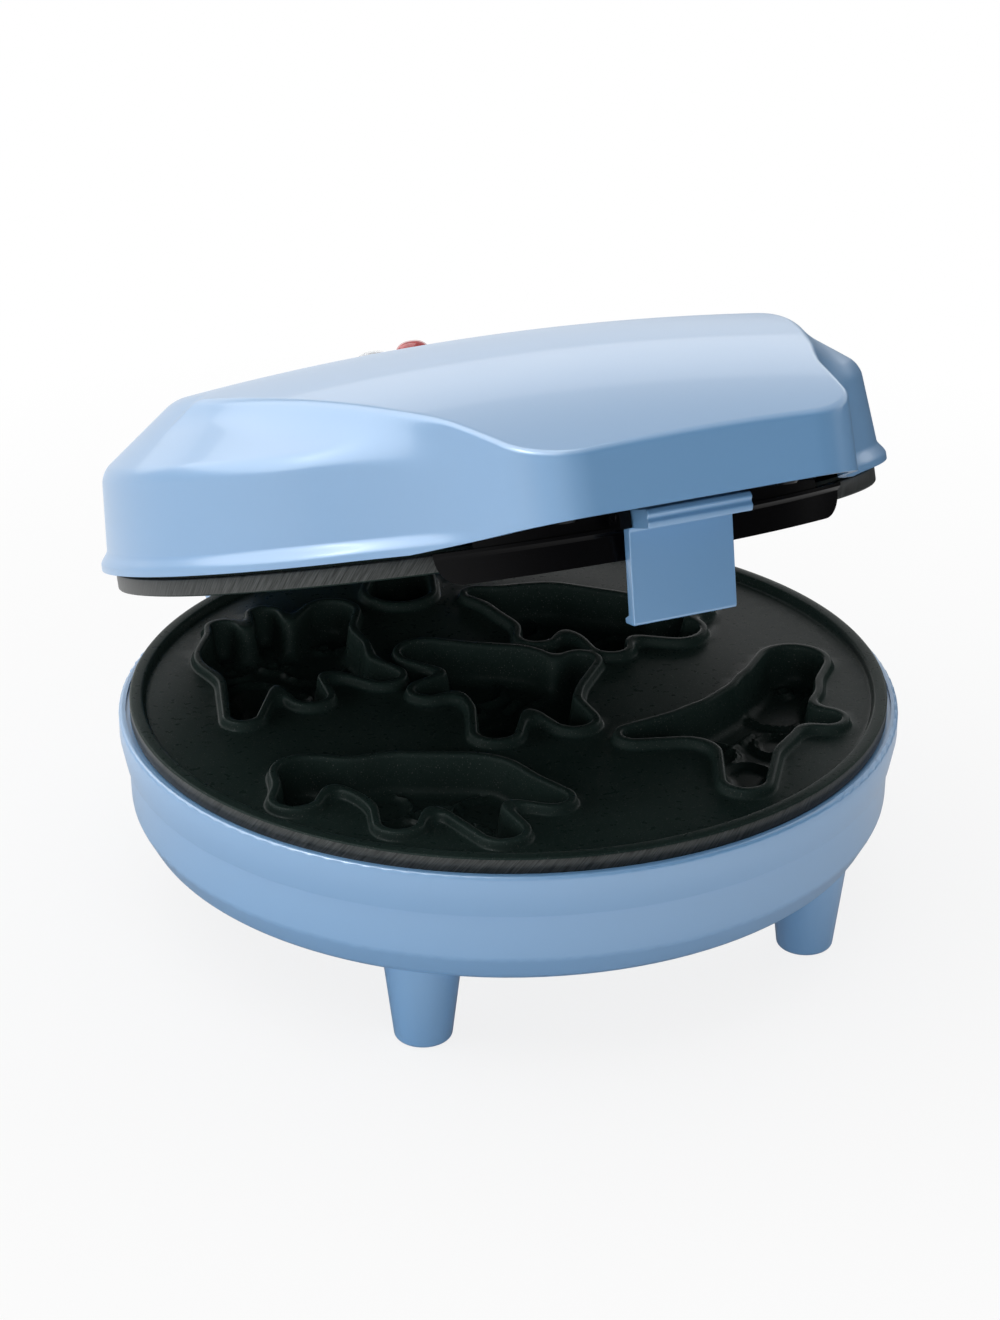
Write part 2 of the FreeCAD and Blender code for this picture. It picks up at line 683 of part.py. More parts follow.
def figure_solids(label, top, bottom, top_grow, bottom_grow):
    """Each figure as a drafted solid between two heights, grown all round at each."""
    solids = []
    share = s.lower_plate_radius.value / DRAWN_RADIUS
    for figure, limbs in FIGURES.items():
        bars = []
        for start, start_radius, end, end_radius in limbs:
            heel, toe = [(x * share, y * share) for x, y in (start, end)]
            outlines = [
                round_bar(heel, start_radius * share + grow, toe, end_radius * share + grow, height)
                for height, grow in ((bottom, bottom_grow), (top, top_grow))
            ]
            bars.append(Part.makeLoft(outlines, True, True))
        item = doc.addObject("Part::Feature", f"{label}_{figure}")
        item.Shape = bars[0].multiFuse(bars[1:]) if len(bars) > 1 else bars[0]
        solids.append(item)
    return solids


def mould_plate(label, radius, face, side, boss_end):
    """Cast plate with figure cavities; side is -1 where its back points down and 1 where it points up."""
    web_radius = radius - s.plate_skirt_step
    ring_radius = radius - s.plate_rim_width
    body = new_body(f"{label}_casting")
    profile = sketch_on(body, f"{label}_profile", "XZ_Plane")
    polygon(
        profile,
        (
            (0, face + s.web_back * side),
            (web_radius, face + s.web_back * side),
            (web_radius, face + s.plate_rim_depth * side),
            (radius, face + s.plate_rim_depth * side),
            (radius, face),
            (ring_radius, face),
            (ring_radius - s.plate_rim_slope, face + s.moat_depth * side),
            (0, face + s.moat_depth * side),
        ),
    )
    turn(body, profile)
    bosses = sketch_on(body, f"{label}_bosses", "XY_Plane", boss_end)
    for x, y in screw_places():
        circle(bosses, x, y, s.boss_radius)
    boss_length = (boss_end - face) * side - s.web_back * HALF - s.moat_depth * HALF
    extrude(body, bosses, boss_length, back=side > 0)
    pilots = sketch_on(body, f"{label}_pilots", "XY_Plane", boss_end)
    for x, y in screw_places():
        circle(pilots, x, y, s.screw_radius + s.snug_fit)
    extrude(body, pilots, s.screw_length, "Pocket", back=side < 0)

    draft = s.cavity_draft.value
    wall = s.cavity_wall.value
    face_z = face.value
    pan_end = face_z + side * pan_depth.value
    floor = face_z + side * s.cavity_depth.value
    pans = figure_solids(f"{label}_pan", face_z, pan_end, wall, wall - draft)
    hollows = figure_solids(f"{label}_hollow", face_z, floor, 0.0, -draft)
    blank = joined(f"{label}_blank", [body] + pans)
    return cut(label, blank, joined(f"{label}_cavities", hollows))


keep(mould_plate("lower_mould", s.lower_plate_radius, lower_face, -1, boss_low), "lower_plate")
keep(mould_plate("upper_mould", s.upper_plate_radius, upper_face, 1, s.roof_z), "upper_plate", on_lid=True)


# Heating ring behind each plate, with a cold pin at each end
def heating_ring(label, back_of_pans, side):
    height = back_of_pans + (s.element_gap + s.tube_radius) * side
    body = new_body(f"{label}_body")
    tube = sketch_on(body, f"{label}_tube", "XZ_Plane")
    circle(tube, s.element_radius, height, s.tube_radius)
    turn(body, tube, angle=s.element_sweep)
    pins = sketch_on(body, f"{label}_pins", "XY_Plane", height)
    circle(pins, s.element_radius, s.tube_radius * HALF, s.terminal_radius)
    end_angle = s.element_sweep
    inset = s.tube_radius * HALF
    circle(
        pins,
        s.element_radius * end_angle.cos() + inset * end_angle.sin(),
        s.element_radius * end_angle.sin() - inset * end_angle.cos(),
        s.terminal_radius,
    )
    extrude(body, pins, s.terminal_length, back=side < 0)
    return body


lower_pans = lower_face - pan_depth
upper_pans = upper_face + pan_depth
keep(heating_ring("lower_ring", lower_pans, -1), "lower_heating_element")
keep(heating_ring("upper_ring", upper_pans, 1), "upper_heating_element", on_lid=True)


# Supports that hold the heating ring off the reflector
def ring_supports(label, sheet_face, back_of_pans, side):
    height = back_of_pans + (s.element_gap + s.tube_radius) * side
    tall = (sheet_face - height) * side
    ring = doc.addObject("Part::Torus", f"{label}_saddle")
    bind(ring, "Radius1", s.element_radius)
    bind(ring, "Radius2", s.tube_radius + s.element_gap)
    bind(ring, "Placement.Base.z", height)
    blocks = []
    for index in THREE:
        angle = s.screw_start + THIRD_TURN * index
        low = sheet_face - tall if side > 0 else sheet_face
        size = (s.support_depth, s.support_width, tall)
        item = block(f"{label}_block{index}", (0, 0, 0), size)
        x, y = s.element_radius * angle.cos(), s.element_radius * angle.sin()
        back, aside = s.support_depth * -0.5, s.support_width * -0.5
        item.setExpression(
            "Placement",
            f"placement(vector({x.text}; {y.text}; {low.text}); rotation(vector(0; 0; 1); {angle.text})) * "
            f"placement(vector({back.text}; {aside.text}; 0); rotation(vector(0; 0; 1); 0))",
        )
        blocks.append(cut(f"{label}_support{index}", item, ring))
    return group(label, blocks)


keep(ring_supports("lower_saddles", boss_low, lower_pans, -1), "lower_element_supports")
keep(ring_supports("upper_saddles", s.roof_z, upper_pans, 1), "upper_element_supports", on_lid=True)

# Lower reflector: dished sheet on the bowl's posts
reflector = new_body("lower_dish")
dish = sketch_on(reflector, "dish_profile", "XZ_Plane")
polygon(
    dish,
    (
        (0, s.reflector_seat),
        (s.reflector_radius, s.reflector_seat),
        (s.reflector_radius, s.lower_reflector_top),
        (s.reflector_radius - s.sheet_thick, s.lower_reflector_top),
        (s.reflector_radius - s.sheet_thick, boss_low),
        (0, boss_low),
    ),
)
turn(reflector, dish)


def reflector_holes(body, name, height, back):
    """Holes in a reflector for the plate screws and the heating ring's cold pins."""
    holes = sketch_on(body, name, "XY_Plane", height)
    for x, y in screw_places():
        circle(holes, x, y, s.screw_radius + s.snug_fit)
    circle(holes, s.element_radius, s.tube_radius * HALF, s.terminal_hole_radius)
    circle(
        holes,
        s.element_radius * s.element_sweep.cos() + s.tube_radius * HALF * s.element_sweep.sin(),
        s.element_radius * s.element_sweep.sin() - s.tube_radius * HALF * s.element_sweep.cos(),
        s.terminal_hole_radius,
    )
    extrude(body, holes, s.sheet_thick * 3, "Pocket", back=back)


reflector_holes(reflector, "dish_holes", s.reflector_seat - s.sheet_thick, True)
keep(reflector, "lower_reflector")

# Three screws hold bowl, reflector and lower plate together
keep(screws("bowl_screws", screw_places(), screw_seat, 1, s.screw_length), "base_screws")

# Cord inlet bush at the back of the bowl
bush = new_body("bush")
bush_profile = sketch_on(bush, "bush_profile", "YZ_Plane")
bush_seat = (bowl_inner_radius * bowl_inner_radius - s.gland_flange_radius * s.gland_flange_radius).root()
bush_inner = bush_seat - s.gland_flange - s.snug_fit
bush_outer = s.wall_radius + s.snug_fit
polygon(
    bush_profile,
    (
        (bush_inner, s.gland_bore_radius),
        (bush_outer + s.gland_flange, s.gland_bore_radius),
        (bush_outer + s.gland_flange, s.gland_flange_radius),
        (bush_outer, s.gland_flange_radius),
        (bush_outer, s.gland_hole_radius - s.snug_fit),
        (bush_inner + s.gland_flange, s.gland_hole_radius - s.snug_fit),
        (bush_inner + s.gland_flange, s.gland_flange_radius),
        (bush_inner, s.gland_flange_radius),
    ),
)
turn(bush, bush_profile, axis="H_Axis")
bind(bush, "Placement.Base.z", s.gland_z)
keep(bush, "cord_inlet_bush")

# Ceramic terminal block on the bowl floor
terminal = new_body("terminal")
terminal_plan = sketch_on(terminal, "terminal_plan", "XY_Plane", floor_top)
box_outline(
    terminal_plan,
    s.block_length * -0.5, s.block_length * HALF,
    s.block_y - s.block_depth * HALF, s.block_y + s.block_depth * HALF,
)
extrude(terminal, terminal_plan, s.block_height)
wire_holes = sketch_on(terminal, "wire_holes", "XZ_Plane")
for step in (-1, 0, 1):
    circle(wire_holes, s.block_pitch * step, floor_top + s.block_height * HALF, s.block_bore_radius)
extrude(terminal, wire_holes, s.block_y + s.block_depth, "Pocket")
keep(terminal, "terminal_block")


# Lid: the same form drawn twice, once for the outside and once inset for the hollow inside
def lid_form(name, inset, drop):
    """Round body with a facet and a straight nose under a crowned top."""
    body = new_body(name)
    top = s.shoulder_height + (s.shoulder_radius - s.facet_top_radius) * s.facet_slope
    facet_shift = inset * (s.facet_slope * s.facet_slope + 1.0).root()
    low = s.lip_low - drop
    profile = sketch_on(body, f"{name}_profile", "XZ_Plane")
    polygon(
        profile,
        (
            (0, low),
            (s.neck_radius - inset, low),
            (s.neck_radius - inset, s.neck_height),
            (s.shoulder_radius - inset, s.shoulder_height + inset * s.facet_slope - facet_shift),
            (s.facet_top_radius, top - facet_shift),
            (0, top - facet_shift),
        ),
    )
    turn(body, profile)
    return body, top, low


def add_nose(body, name, inset, top, low):
    """Straight-fronted nose over the full height of the lid."""
    plan = sketch_on(body, f"{name}_nose", "XY_Plane", low)
    corners = (
        (s.nose_root_half - inset, -s.nose_root_y),
        (s.nose_front_half - inset, inset - s.nose_front_y),
    )
    mirrored = tuple((-x, y) for x, y in reversed(corners))
    polygon(plan, corners + mirrored)
    extrude(body, plan, top - low)
    height = (low.value + top.value) / 2
    front = [Vector(side * corners[1][0].value, corners[1][1].value, height) for side in SIDES]
    fillet(body, f"{name}_nose_corners", s.nose_corner - inset, front)


def crown(body, name, inset):
    """Cut the top to a crown that is curved both ways."""
    top = s.crown_top - inset
    fore = s.crown_fore_radius - inset
    reach = s.nose_front_y + s.nose_corner
    sky = s.crown_top + s.crown_fore_radius * HALF * HALF
    sketch = sketch_on(body, f"{name}_crown", "YZ_Plane")
    dip = math.sqrt(fore.value ** 2 - reach.value ** 2)
    edge_z = top.value - fore.value + dip
    half_sweep = math.asin(reach.value / fore.value)
    arc_circle = Part.Circle(Vector(0, top.value - fore.value, 0), Vector(0, 0, 1), fore.value)
    up = math.pi / 2
    sketch.addGeometry(Part.ArcOfCircle(arc_circle, up - half_sweep, up + half_sweep), False)
    left, right = Vector(-reach.value, edge_z, 0), Vector(reach.value, edge_z, 0)
    left_sky, right_sky = Vector(-reach.value, sky.value, 0), Vector(reach.value, sky.value, 0)
    for start, end in ((left, left_sky), (left_sky, right_sky), (right_sky, right)):
        sketch.addGeometry(Part.LineSegment(start, end), False)
    for first, first_end, second, second_end in ((0, 2, 1, 1), (1, 2, 2, 1), (2, 2, 3, 1), (3, 2, 0, 1)):
        sketch.addConstraint(Sketcher.Constraint("Coincident", first, first_end, second, second_end))
    pin_point(sketch, 0, 3, 0, top - fore)
    index = sketch.addConstraint(Sketcher.Constraint("Radius", 0, fore.value))
    bind(sketch, f"Constraints[{index}]", fore)
    pin_point(sketch, 2, 1, -reach, sky)
    pin_point(sketch, 2, 2, reach, sky)
    sketch.addConstraint(Sketcher.Constraint("Vertical", 1))
    sketch.addConstraint(Sketcher.Constraint("Vertical", 3))
    axis_z = s.crown_top - s.crown_side_radius
    axis_line = Part.LineSegment(Vector(-10, axis_z.value, 0), Vector(10, axis_z.value, 0))
    axis = sketch.addGeometry(axis_line, True)
    pin_point(sketch, axis, 1, -10, axis_z)
    pin_point(sketch, axis, 2, 10, axis_z)
    turn(body, sketch, "Groove", 24.0, "Axis0", symmetric=True)


no_inset = Size("0.0", 0.0)
core_drop = s.lip_low - lower_face
outer, outer_top, outer_low = lid_form("lid_outer", no_inset, no_inset)
fillet(outer, "lid_shoulder_round", s.shoulder_round, (ring_point(s.shoulder_radius, s.shoulder_height),))
add_nose(outer, "lid_outer", no_inset, outer_top, outer_low)
nose_lean = (s.nose_root_half.value - s.nose_front_half.value) / (s.nose_front_y.value - s.nose_root_y.value)


def nose_wall_point():
    """Where the left nose side meets the wall, on the corner that gets the hollow rounding."""
    radius = s.neck_radius.value
    across = s.nose_root_half.value + nose_lean * s.nose_root_y.value
    bend = 1 + nose_lean ** 2
    middle = nose_lean * across
    y = -(middle + math.sqrt(middle ** 2 - bend * (across ** 2 - radius ** 2))) / bend
    height = (s.lip_low.value + s.neck_height.value) / 2
    return Vector(-math.sqrt(radius ** 2 - y ** 2), y, height)


# The hollow rounding is made on the left half, which is then mirrored
fillet(outer, "nose_blend_round", s.nose_blend, (nose_wall_point(),))
right_half = sketch_on(outer, "lid_right_half", "YZ_Plane")
wide = s.nose_front_y + s.nose_corner
box_outline(right_half, -wide, wide, outer_low - s.lid_wall, outer_top + s.lid_wall)
extrude(outer, right_half, wide, "Pocket", back=True)
mirrored = outer.newObject("PartDesign::Mirrored", "lid_mirrored")
mirrored.MirrorPlane = (next(item for item in outer.Origin.OriginFeatures if item.Role == "YZ_Plane"), [""])
mirrored.TransformMode = "Whole shape"
outer.Tip = mirrored

lip = sketch_on(outer, "lid_lip", "XZ_Plane")
polygon(
    lip,
    (
        (s.shoulder_radius, s.lip_low),
        (s.rim_radius, s.lip_low),
        (s.rim_radius, s.lip_high),
        (s.neck_radius, s.neck_height),
        (s.shoulder_radius, s.neck_height),
    ),
)
turn(outer, lip)
arm = sketch_on(outer, "knuckle_arm", "YZ_Plane")
eye_radius = s.hinge_eye_radius
polygon(
    arm,
    (
        (s.hinge_root, s.neck_height),
        (s.rim_radius, s.neck_height),
        (s.hinge_y - eye_radius * FLANK_OUT, s.hinge_z + eye_radius * FLANK_UP),
        (s.hinge_y, s.hinge_z),
        (s.hinge_y + eye_radius * FLANK_OUT, s.hinge_z + eye_radius * FLANK_UP),
        (s.hinge_y - eye_radius * FLANK_UP, s.shoulder_height - eye_radius),
        (s.hinge_root, s.shoulder_height - eye_radius),
    ),
)
extrude(outer, arm, s.knuckle_half_width * 2, symmetric=True)
knuckle = sketch_on(outer, "knuckle_eye", "YZ_Plane")
circle(knuckle, s.hinge_y, s.hinge_z, eye_radius)
extrude(outer, knuckle, s.knuckle_half_width * 2, symmetric=True)
knuckle_hole = sketch_on(outer, "knuckle_hole", "YZ_Plane")
circle(knuckle_hole, s.hinge_y, s.hinge_z, s.pin_radius + s.snug_fit)
extrude(outer, knuckle_hole, s.hinge_half_width * 3, "Pocket", symmetric=True)
crown(outer, "lid_outer", no_inset)
lift = sketch_on(outer, "nose_lift_cut", "YZ_Plane")
lift_end = s.nose_front_y + s.nose_corner
lift_rise = s.nose_lift * (lift_end - s.nose_lift_y) / (s.nose_front_y - s.nose_lift_y)
polygon(
    lift,
    (
        (-s.nose_lift_y, s.lip_low),
        (-lift_end, s.lip_low + lift_rise),
        (-lift_end, s.lip_low - s.nose_lift),
        (-s.nose_lift_y, s.lip_low - s.nose_lift),
    ),
)
extrude(outer, lift, s.rim_radius * 2, "Pocket", symmetric=True)

core, core_top, core_low = lid_form("lid_core", s.lid_wall, core_drop)
add_nose(core, "lid_core", s.lid_wall, core_top, core_low)
crown(core, "lid_core", s.lid_wall)

# Posts, ledge and lamp bosses inside the lid, trimmed to its outside
guard_screws = [(s.guard_screw_x * side, -s.guard_screw_y) for side in SIDES]
lamps = [(s.lamp_x * side, s.lamp_y) for side in SIDES]
tab_top = s.tab_z + s.sheet_thick
stands = [
    cylinder(f"nose_post{i}", s.nose_post_radius, s.crown_top - tab_top, (x, y, tab_top))
    for i, (x, y) in enumerate(guard_screws)
]
stands += [
    cylinder(f"lamp_boss{i}", s.lamp_boss_radius, s.crown_top - s.lamp_boss_low, (x, y, s.lamp_boss_low))
    for i, (x, y) in enumerate(lamps)
]
ledge_depth = s.lid_wall * 2
stands.append(
    block(
        "rear_ledge",
        (s.tab_half_width * -2, s.rear_tab_reach - ledge_depth * HALF, s.tab_z - s.lid_wall),
        (s.tab_half_width * 4, ledge_depth, s.lid_wall),
    )
)
trimmed = doc.addObject("Part::Common", "lid_stands")
trimmed.Base = joined("lid_stand_blanks", stands)
trimmed.Tool = outer
bodied = joined("lid_bodied", (cut("lid_hollowed", outer, core), trimmed))
holes = [
    cylinder(f"post_pilot{i}", s.screw_radius + s.snug_fit, s.screw_length, (x, y, tab_top))
    for i, (x, y) in enumerate(guard_screws)
]
for i, (x, y) in enumerate(lamps):
    below = (x, y, s.lamp_boss_low - s.lid_wall)
    reach = s.crown_top - s.lamp_boss_low + s.lid_wall
    holes.append(cylinder(f"stem_hole{i}", s.lens_stem_radius + s.snug_fit, reach, below))
    seat_radius = s.lamp_radius + s.lamp_seat_gap
    holes.append(cylinder(f"lens_seat{i}", seat_radius, s.crown_top - s.lamp_seat_z, (x, y, s.lamp_seat_z)))
keep(cut("lid", bodied, joined("lid_holes", holes)), "lid_shell", on_lid=True)

# Front guard: black curved wall under the nose, with a flange inside the nose
guard = new_body("guard")
flange_low = s.tab_z - s.flange_thick
guard_inner = s.guard_radius - s.guard_wall


def guard_wall(name, sweep, points):
    """Part of the guard's wall, swept evenly to both sides of the front."""
    section = sketch_on(guard, name, "YZ_Plane")
    polygon(section, [(-radius, height) for radius, height in points])
    turn(guard, section, angle=sweep * 2, symmetric=True)


guard_wall(
    "guard_face",
    s.guard_half_angle,
    (
        (guard_inner, s.guard_low),
        (s.guard_radius, s.guard_low),
        (s.guard_radius, s.guard_ledge_low),
        (s.guard_radius + s.guard_ledge, s.guard_ledge_low + s.guard_ledge),
        (s.guard_radius + s.guard_ledge, s.guard_top),
        (guard_inner, s.guard_top),
    ),
)
corner_spots = []
for side in SIDES:
    lean = math.radians(s.guard_half_angle.value)
    middle = s.guard_radius.value - s.guard_wall.value / 2
    corner_spots.append(Vector(side * middle * math.sin(lean), -middle * math.cos(lean), s.guard_low.value))
fillet(guard, "guard_corners", s.guard_corner, corner_spots)
guard_wall(
    "guard_neck",
    s.guard_neck_angle,
    (
        (guard_inner, s.guard_low + s.guard_corner),
        (s.guard_radius, s.guard_low + s.guard_corner),
        (s.guard_radius, s.tab_z),
        (guard_inner, s.tab_z),
    ),
)
flange = sketch_on(guard, "guard_flange", "XY_Plane", flange_low)
flange_gap = s.lid_wall + s.slide_fit
flange_back = s.guard_radius * s.guard_neck_angle.cos()
flange_half = s.guard_radius * s.guard_neck_angle.sin()
flange_front = s.nose_front_y - flange_gap
front_half = s.nose_front_half - s.nose_corner
polygon(
    flange,
    (
        (flange_half - s.guard_wall, -flange_back),
        (s.guard_screw_x + s.nose_post_radius * 2, -s.guard_screw_y),
        (front_half, -flange_front),
        (-front_half, -flange_front),
        (-s.guard_screw_x - s.nose_post_radius * 2, -s.guard_screw_y),
        (s.guard_wall - flange_half, -flange_back),
    ),
)
extrude(guard, flange, s.flange_thick)
guard_inside = sketch_on(guard, "guard_inside", "XY_Plane", flange_low - s.flange_thick)
circle(guard_inside, 0, 0, guard_inner)
extrude(guard, guard_inside, s.flange_thick * 3, "Pocket", back=True)
latch_bay = sketch_on(guard, "latch_bay", "XY_Plane", flange_low - s.flange_thick)
bay_half = s.latch_half_width + s.slide_fit
box_outline(latch_bay, -bay_half, bay_half, -s.nose_front_y, -s.guard_radius - s.snug_fit)
extrude(guard, latch_bay, s.flange_thick * 3, "Pocket", back=True)
lugs = sketch_on(guard, "latch_lugs", "YZ_Plane")
lug_half_depth = s.latch_eye_radius
box_outline(lugs, -s.latch_y - lug_half_depth, -s.latch_y + lug_half_depth, s.lug_low, s.tab_z)
extrude(guard, lugs, (bay_half + s.lug_thick) * 2, symmetric=True)
lug_gap = sketch_on(guard, "lug_gap", "YZ_Plane")
box_outline(lug_gap, -s.nose_front_y, -s.guard_radius - s.snug_fit, s.guard_low, s.tab_z + s.flange_thick)
extrude(guard, lug_gap, bay_half * 2, "Pocket", symmetric=True)
lug_holes = sketch_on(guard, "lug_holes", "YZ_Plane")
circle(lug_holes, -s.latch_y, s.latch_z, s.latch_pin_radius + s.snug_fit)
extrude(guard, lug_holes, (bay_half + s.lug_thick) * 3, "Pocket", symmetric=True)
guard_holes = sketch_on(guard, "guard_screw_holes", "XY_Plane", flange_low - s.flange_thick)
for x, y in guard_screws:
    circle(guard_holes, x, y, s.screw_radius + s.snug_fit)
extrude(guard, guard_holes, s.flange_thick * 3, "Pocket", back=True)
keep(guard, "front_guard", on_lid=True)
keep(screws("nose_screws", guard_screws, flange_low, 1, s.screw_length), "guard_screws", on_lid=True)

# Upper reflector: roof over the heating ring, with tabs for the nose screws and the rear ledge
roof = new_body("roof")
roof_profile = sketch_on(roof, "roof_profile", "XZ_Plane")
roof_inner = s.reflector_radius - s.sheet_thick
polygon(
    roof_profile,
    (
        (0, s.roof_z),
        (roof_inner, s.roof_z),
        (roof_inner, s.upper_reflector_low),
        (s.reflector_radius, s.upper_reflector_low),
        (s.reflector_radius, roof_top),
        (0, roof_top),
    ),
)
turn(roof, roof_profile)
tabs = sketch_on(roof, "roof_tabs", "XY_Plane", s.tab_z)
tab_start = roof_inner * s.guard_half_angle.cos()
for side in SIDES:
    middle = s.guard_screw_x * side
    box_outline(tabs, middle - s.tab_half_width, middle + s.tab_half_width, -s.tab_reach, -tab_start)
rear_start = roof_inner - s.sheet_thick
box_outline(tabs, -s.tab_half_width, s.tab_half_width, rear_start, s.rear_tab_reach)
extrude(roof, tabs, s.sheet_thick)
clear_inside = sketch_on(roof, "roof_clear", "XY_Plane", s.upper_reflector_low)
circle(clear_inside, 0, 0, roof_inner)
extrude(roof, clear_inside, s.roof_z - s.upper_reflector_low, "Pocket", back=True)
tab_holes = sketch_on(roof, "tab_holes", "XY_Plane", s.tab_z - s.sheet_thick)
for x, y in guard_screws:
    circle(tab_holes, x, y, s.screw_radius + s.snug_fit)
extrude(roof, tab_holes, s.sheet_thick * 3, "Pocket", back=True)
reflector_holes(roof, "roof_holes", roof_top + s.sheet_thick, False)
keep(roof, "upper_reflector", on_lid=True)
keep(screws("roof_screws", screw_places(), roof_top, -1, s.screw_length), "plate_screws", on_lid=True)

# Thermostat and thermal fuse on the reflector's roof
thermostat = new_body("thermostat_body")
can = sketch_on(thermostat, "thermostat_can", "XY_Plane", roof_top)
circle(can, 0, 0, s.thermostat_radius)
extrude(thermostat, can, s.thermostat_height)
foot = sketch_on(thermostat, "thermostat_foot", "XY_Plane", roof_top)
box_outline(
    foot, -s.thermostat_flange, s.thermostat_flange, -s.flange_half_depth, s.flange_half_depth
)
extrude(thermostat, foot, s.sheet_thick)
keep(thermostat, "thermostat", on_lid=True)
fuse_z = roof_top + s.clip_wall + s.fuse_radius + s.snug_fit
fuse = cylinder("fuse", s.fuse_radius, s.fuse_length, (s.fuse_x, s.fuse_length * -0.5, fuse_z), (0, 1, 0))
keep(group("fuse_group", (fuse,)), "thermal_fuse", on_lid=True)
clip = new_body("clip")
clip_profile = sketch_on(clip, "clip_profile", "XZ_Plane")
clip_half = s.fuse_radius + s.snug_fit + s.clip_wall
clip_low = s.fuse_x - clip_half
clip_high = s.fuse_x + clip_half
box_outline(clip_profile, clip_low, clip_high, roof_top, fuse_z + clip_half)
extrude(clip, clip_profile, s.clip_length, symmetric=True)
clip_bore = sketch_on(clip, "clip_bore", "XZ_Plane")
circle(clip_bore, s.fuse_x, fuse_z, s.fuse_radius + s.snug_fit)
extrude(clip, clip_bore, s.clip_length * 2, "Pocket", symmetric=True)
keep(clip, "fuse_clip", on_lid=True)


# Signal lamps: hollow domed lenses in the lid, bulbs in the lenses and a holder under them
def lens(label, place, height):
    body = new_body(f"{label}_body")
    profile = sketch_on(body, f"{label}_profile", "XZ_Plane")
    stem_low = -s.lens_stem_length
    inner = s.lens_stem_radius - s.lens_wall
    polygon(
        profile,
        (
            (inner, stem_low),
            (s.lens_stem_radius, stem_low),
            (s.lens_stem_radius, 0),
            (s.lamp_radius, 0),
            *((s.lamp_radius * out, height * up) for out, up in LENS_STEPS),
            (0, height),
            (0, height - s.lens_wall * 2),
            (inner, height - s.lens_wall * 3),
        ),
    )
    turn(body, profile)
    item = group(f"{label}_placed", (body,))
    for letter, size in zip("xyz", (place[0], place[1], s.lamp_seat_z)):
        bind(body, f"Placement.Base.{letter}", size)
    return item


keep(lens("red_lens", lamps[1], s.red_lens_height), "power_lamp_lens", on_lid=True)
keep(lens("clear_lens", lamps[0], s.clear_lens_height), "ready_lamp_lens", on_lid=True)
stem_low = s.lamp_seat_z - s.lens_stem_length
holder_low = s.lamp_boss_low - s.holder_height
bulbs = [
    cylinder(f"bulb{i}", s.bulb_radius, s.bulb_length, (x, y, holder_low + s.lid_wall * HALF))
    for i, (x, y) in enumerate(lamps)
]
keep(group("bulb_group", bulbs), "lamp_bulbs", on_lid=True)
holder = new_body("holder")
holder_plan = sketch_on(holder, "holder_plan", "XY_Plane", holder_low)
holder_half = s.lamp_x + s.lens_stem_radius + s.holder_margin
holder_depth = s.lens_stem_radius + s.holder_margin
box_outline(holder_plan, -holder_half, holder_half, s.lamp_y - holder_depth, s.lamp_y + holder_depth)
extrude(holder, holder_plan, s.holder_height)
stem_bores = sketch_on(holder, "holder_stem_bores", "XY_Plane", s.lamp_boss_low)
for x, y in lamps:
    circle(stem_bores, x, y, s.lens_stem_radius + s.snug_fit)
extrude(holder, stem_bores, s.lamp_boss_low - stem_low + s.snug_fit, "Pocket")
bulb_bores = sketch_on(holder, "holder_bulb_bores", "XY_Plane", s.lamp_boss_low)
for x, y in lamps:
    circle(bulb_bores, x, y, s.bulb_radius + s.snug_fit)
extrude(holder, bulb_bores, s.holder_height - s.lid_wall * HALF, "Pocket")
keep(holder, "lamp_holder", on_lid=True)

# Latch: clip with a hook below and a finger grip in front, turning on a pin in the guard's lugs
latch_pin_half = bay_half + s.lug_thick
latch_pin = cylinder(
    "latch_axle", s.latch_pin_radius, latch_pin_half * 2, (-latch_pin_half, -s.latch_y, s.latch_z), (1, 0, 0)
)
keep(group("latch_axle_group", (latch_pin,)), "latch_pin", on_lid=True)
latch = new_body("latch")
side_view = sketch_on(latch, "latch_side", "YZ_Plane")
hook_top = s.crease_height - s.hook_clear
polygon(
    side_view,
    (
        (-s.latch_low_y, s.latch_low),
        (-s.hook_reach, hook_top - s.hook_tip),
        (-s.hook_reach, hook_top),
        (s.latch_wall - s.latch_low_y, s.latch_low + s.latch_wall),
        (s.latch_wall - s.latch_y, s.latch_z - s.latch_eye_radius),
        (-s.latch_y, s.latch_z),
        (-s.latch_y, s.grip_high),
        (-s.grip_reach, s.grip_high),
        (-s.grip_reach, s.grip_high - s.latch_wall * HALF),
        (-s.grip_back, s.grip_low),
        (-s.latch_y, s.grip_low),
    ),
)
extrude(latch, side_view, s.latch_half_width * 2, symmetric=True)
barrel = sketch_on(latch, "latch_barrel", "YZ_Plane")
circle(barrel, -s.latch_y, s.latch_z, s.latch_eye_radius)
extrude(latch, barrel, s.latch_half_width * 2, symmetric=True)
latch_hole = sketch_on(latch, "latch_hole", "YZ_Plane")
circle(latch_hole, -s.latch_y, s.latch_z, s.latch_pin_radius + s.snug_fit)
extrude(latch, latch_hole, s.latch_half_width * 3, "Pocket", symmetric=True)
grooves = sketch_on(latch, "grip_grooves", "YZ_Plane")
groove_pitch = (s.grip_reach - s.latch_y - s.latch_eye_radius) / 3
for step in (1, 2):
    start = s.grip_reach - groove_pitch * step
    groove_end = s.grip_groove * 2 - start
    box_outline(grooves, -start, groove_end, s.grip_high - s.grip_groove, s.grip_high + s.grip_groove)
extrude(latch, grooves, s.latch_half_width * 3, "Pocket", symmetric=True)
keep(latch, "latch_clip", on_lid=True)

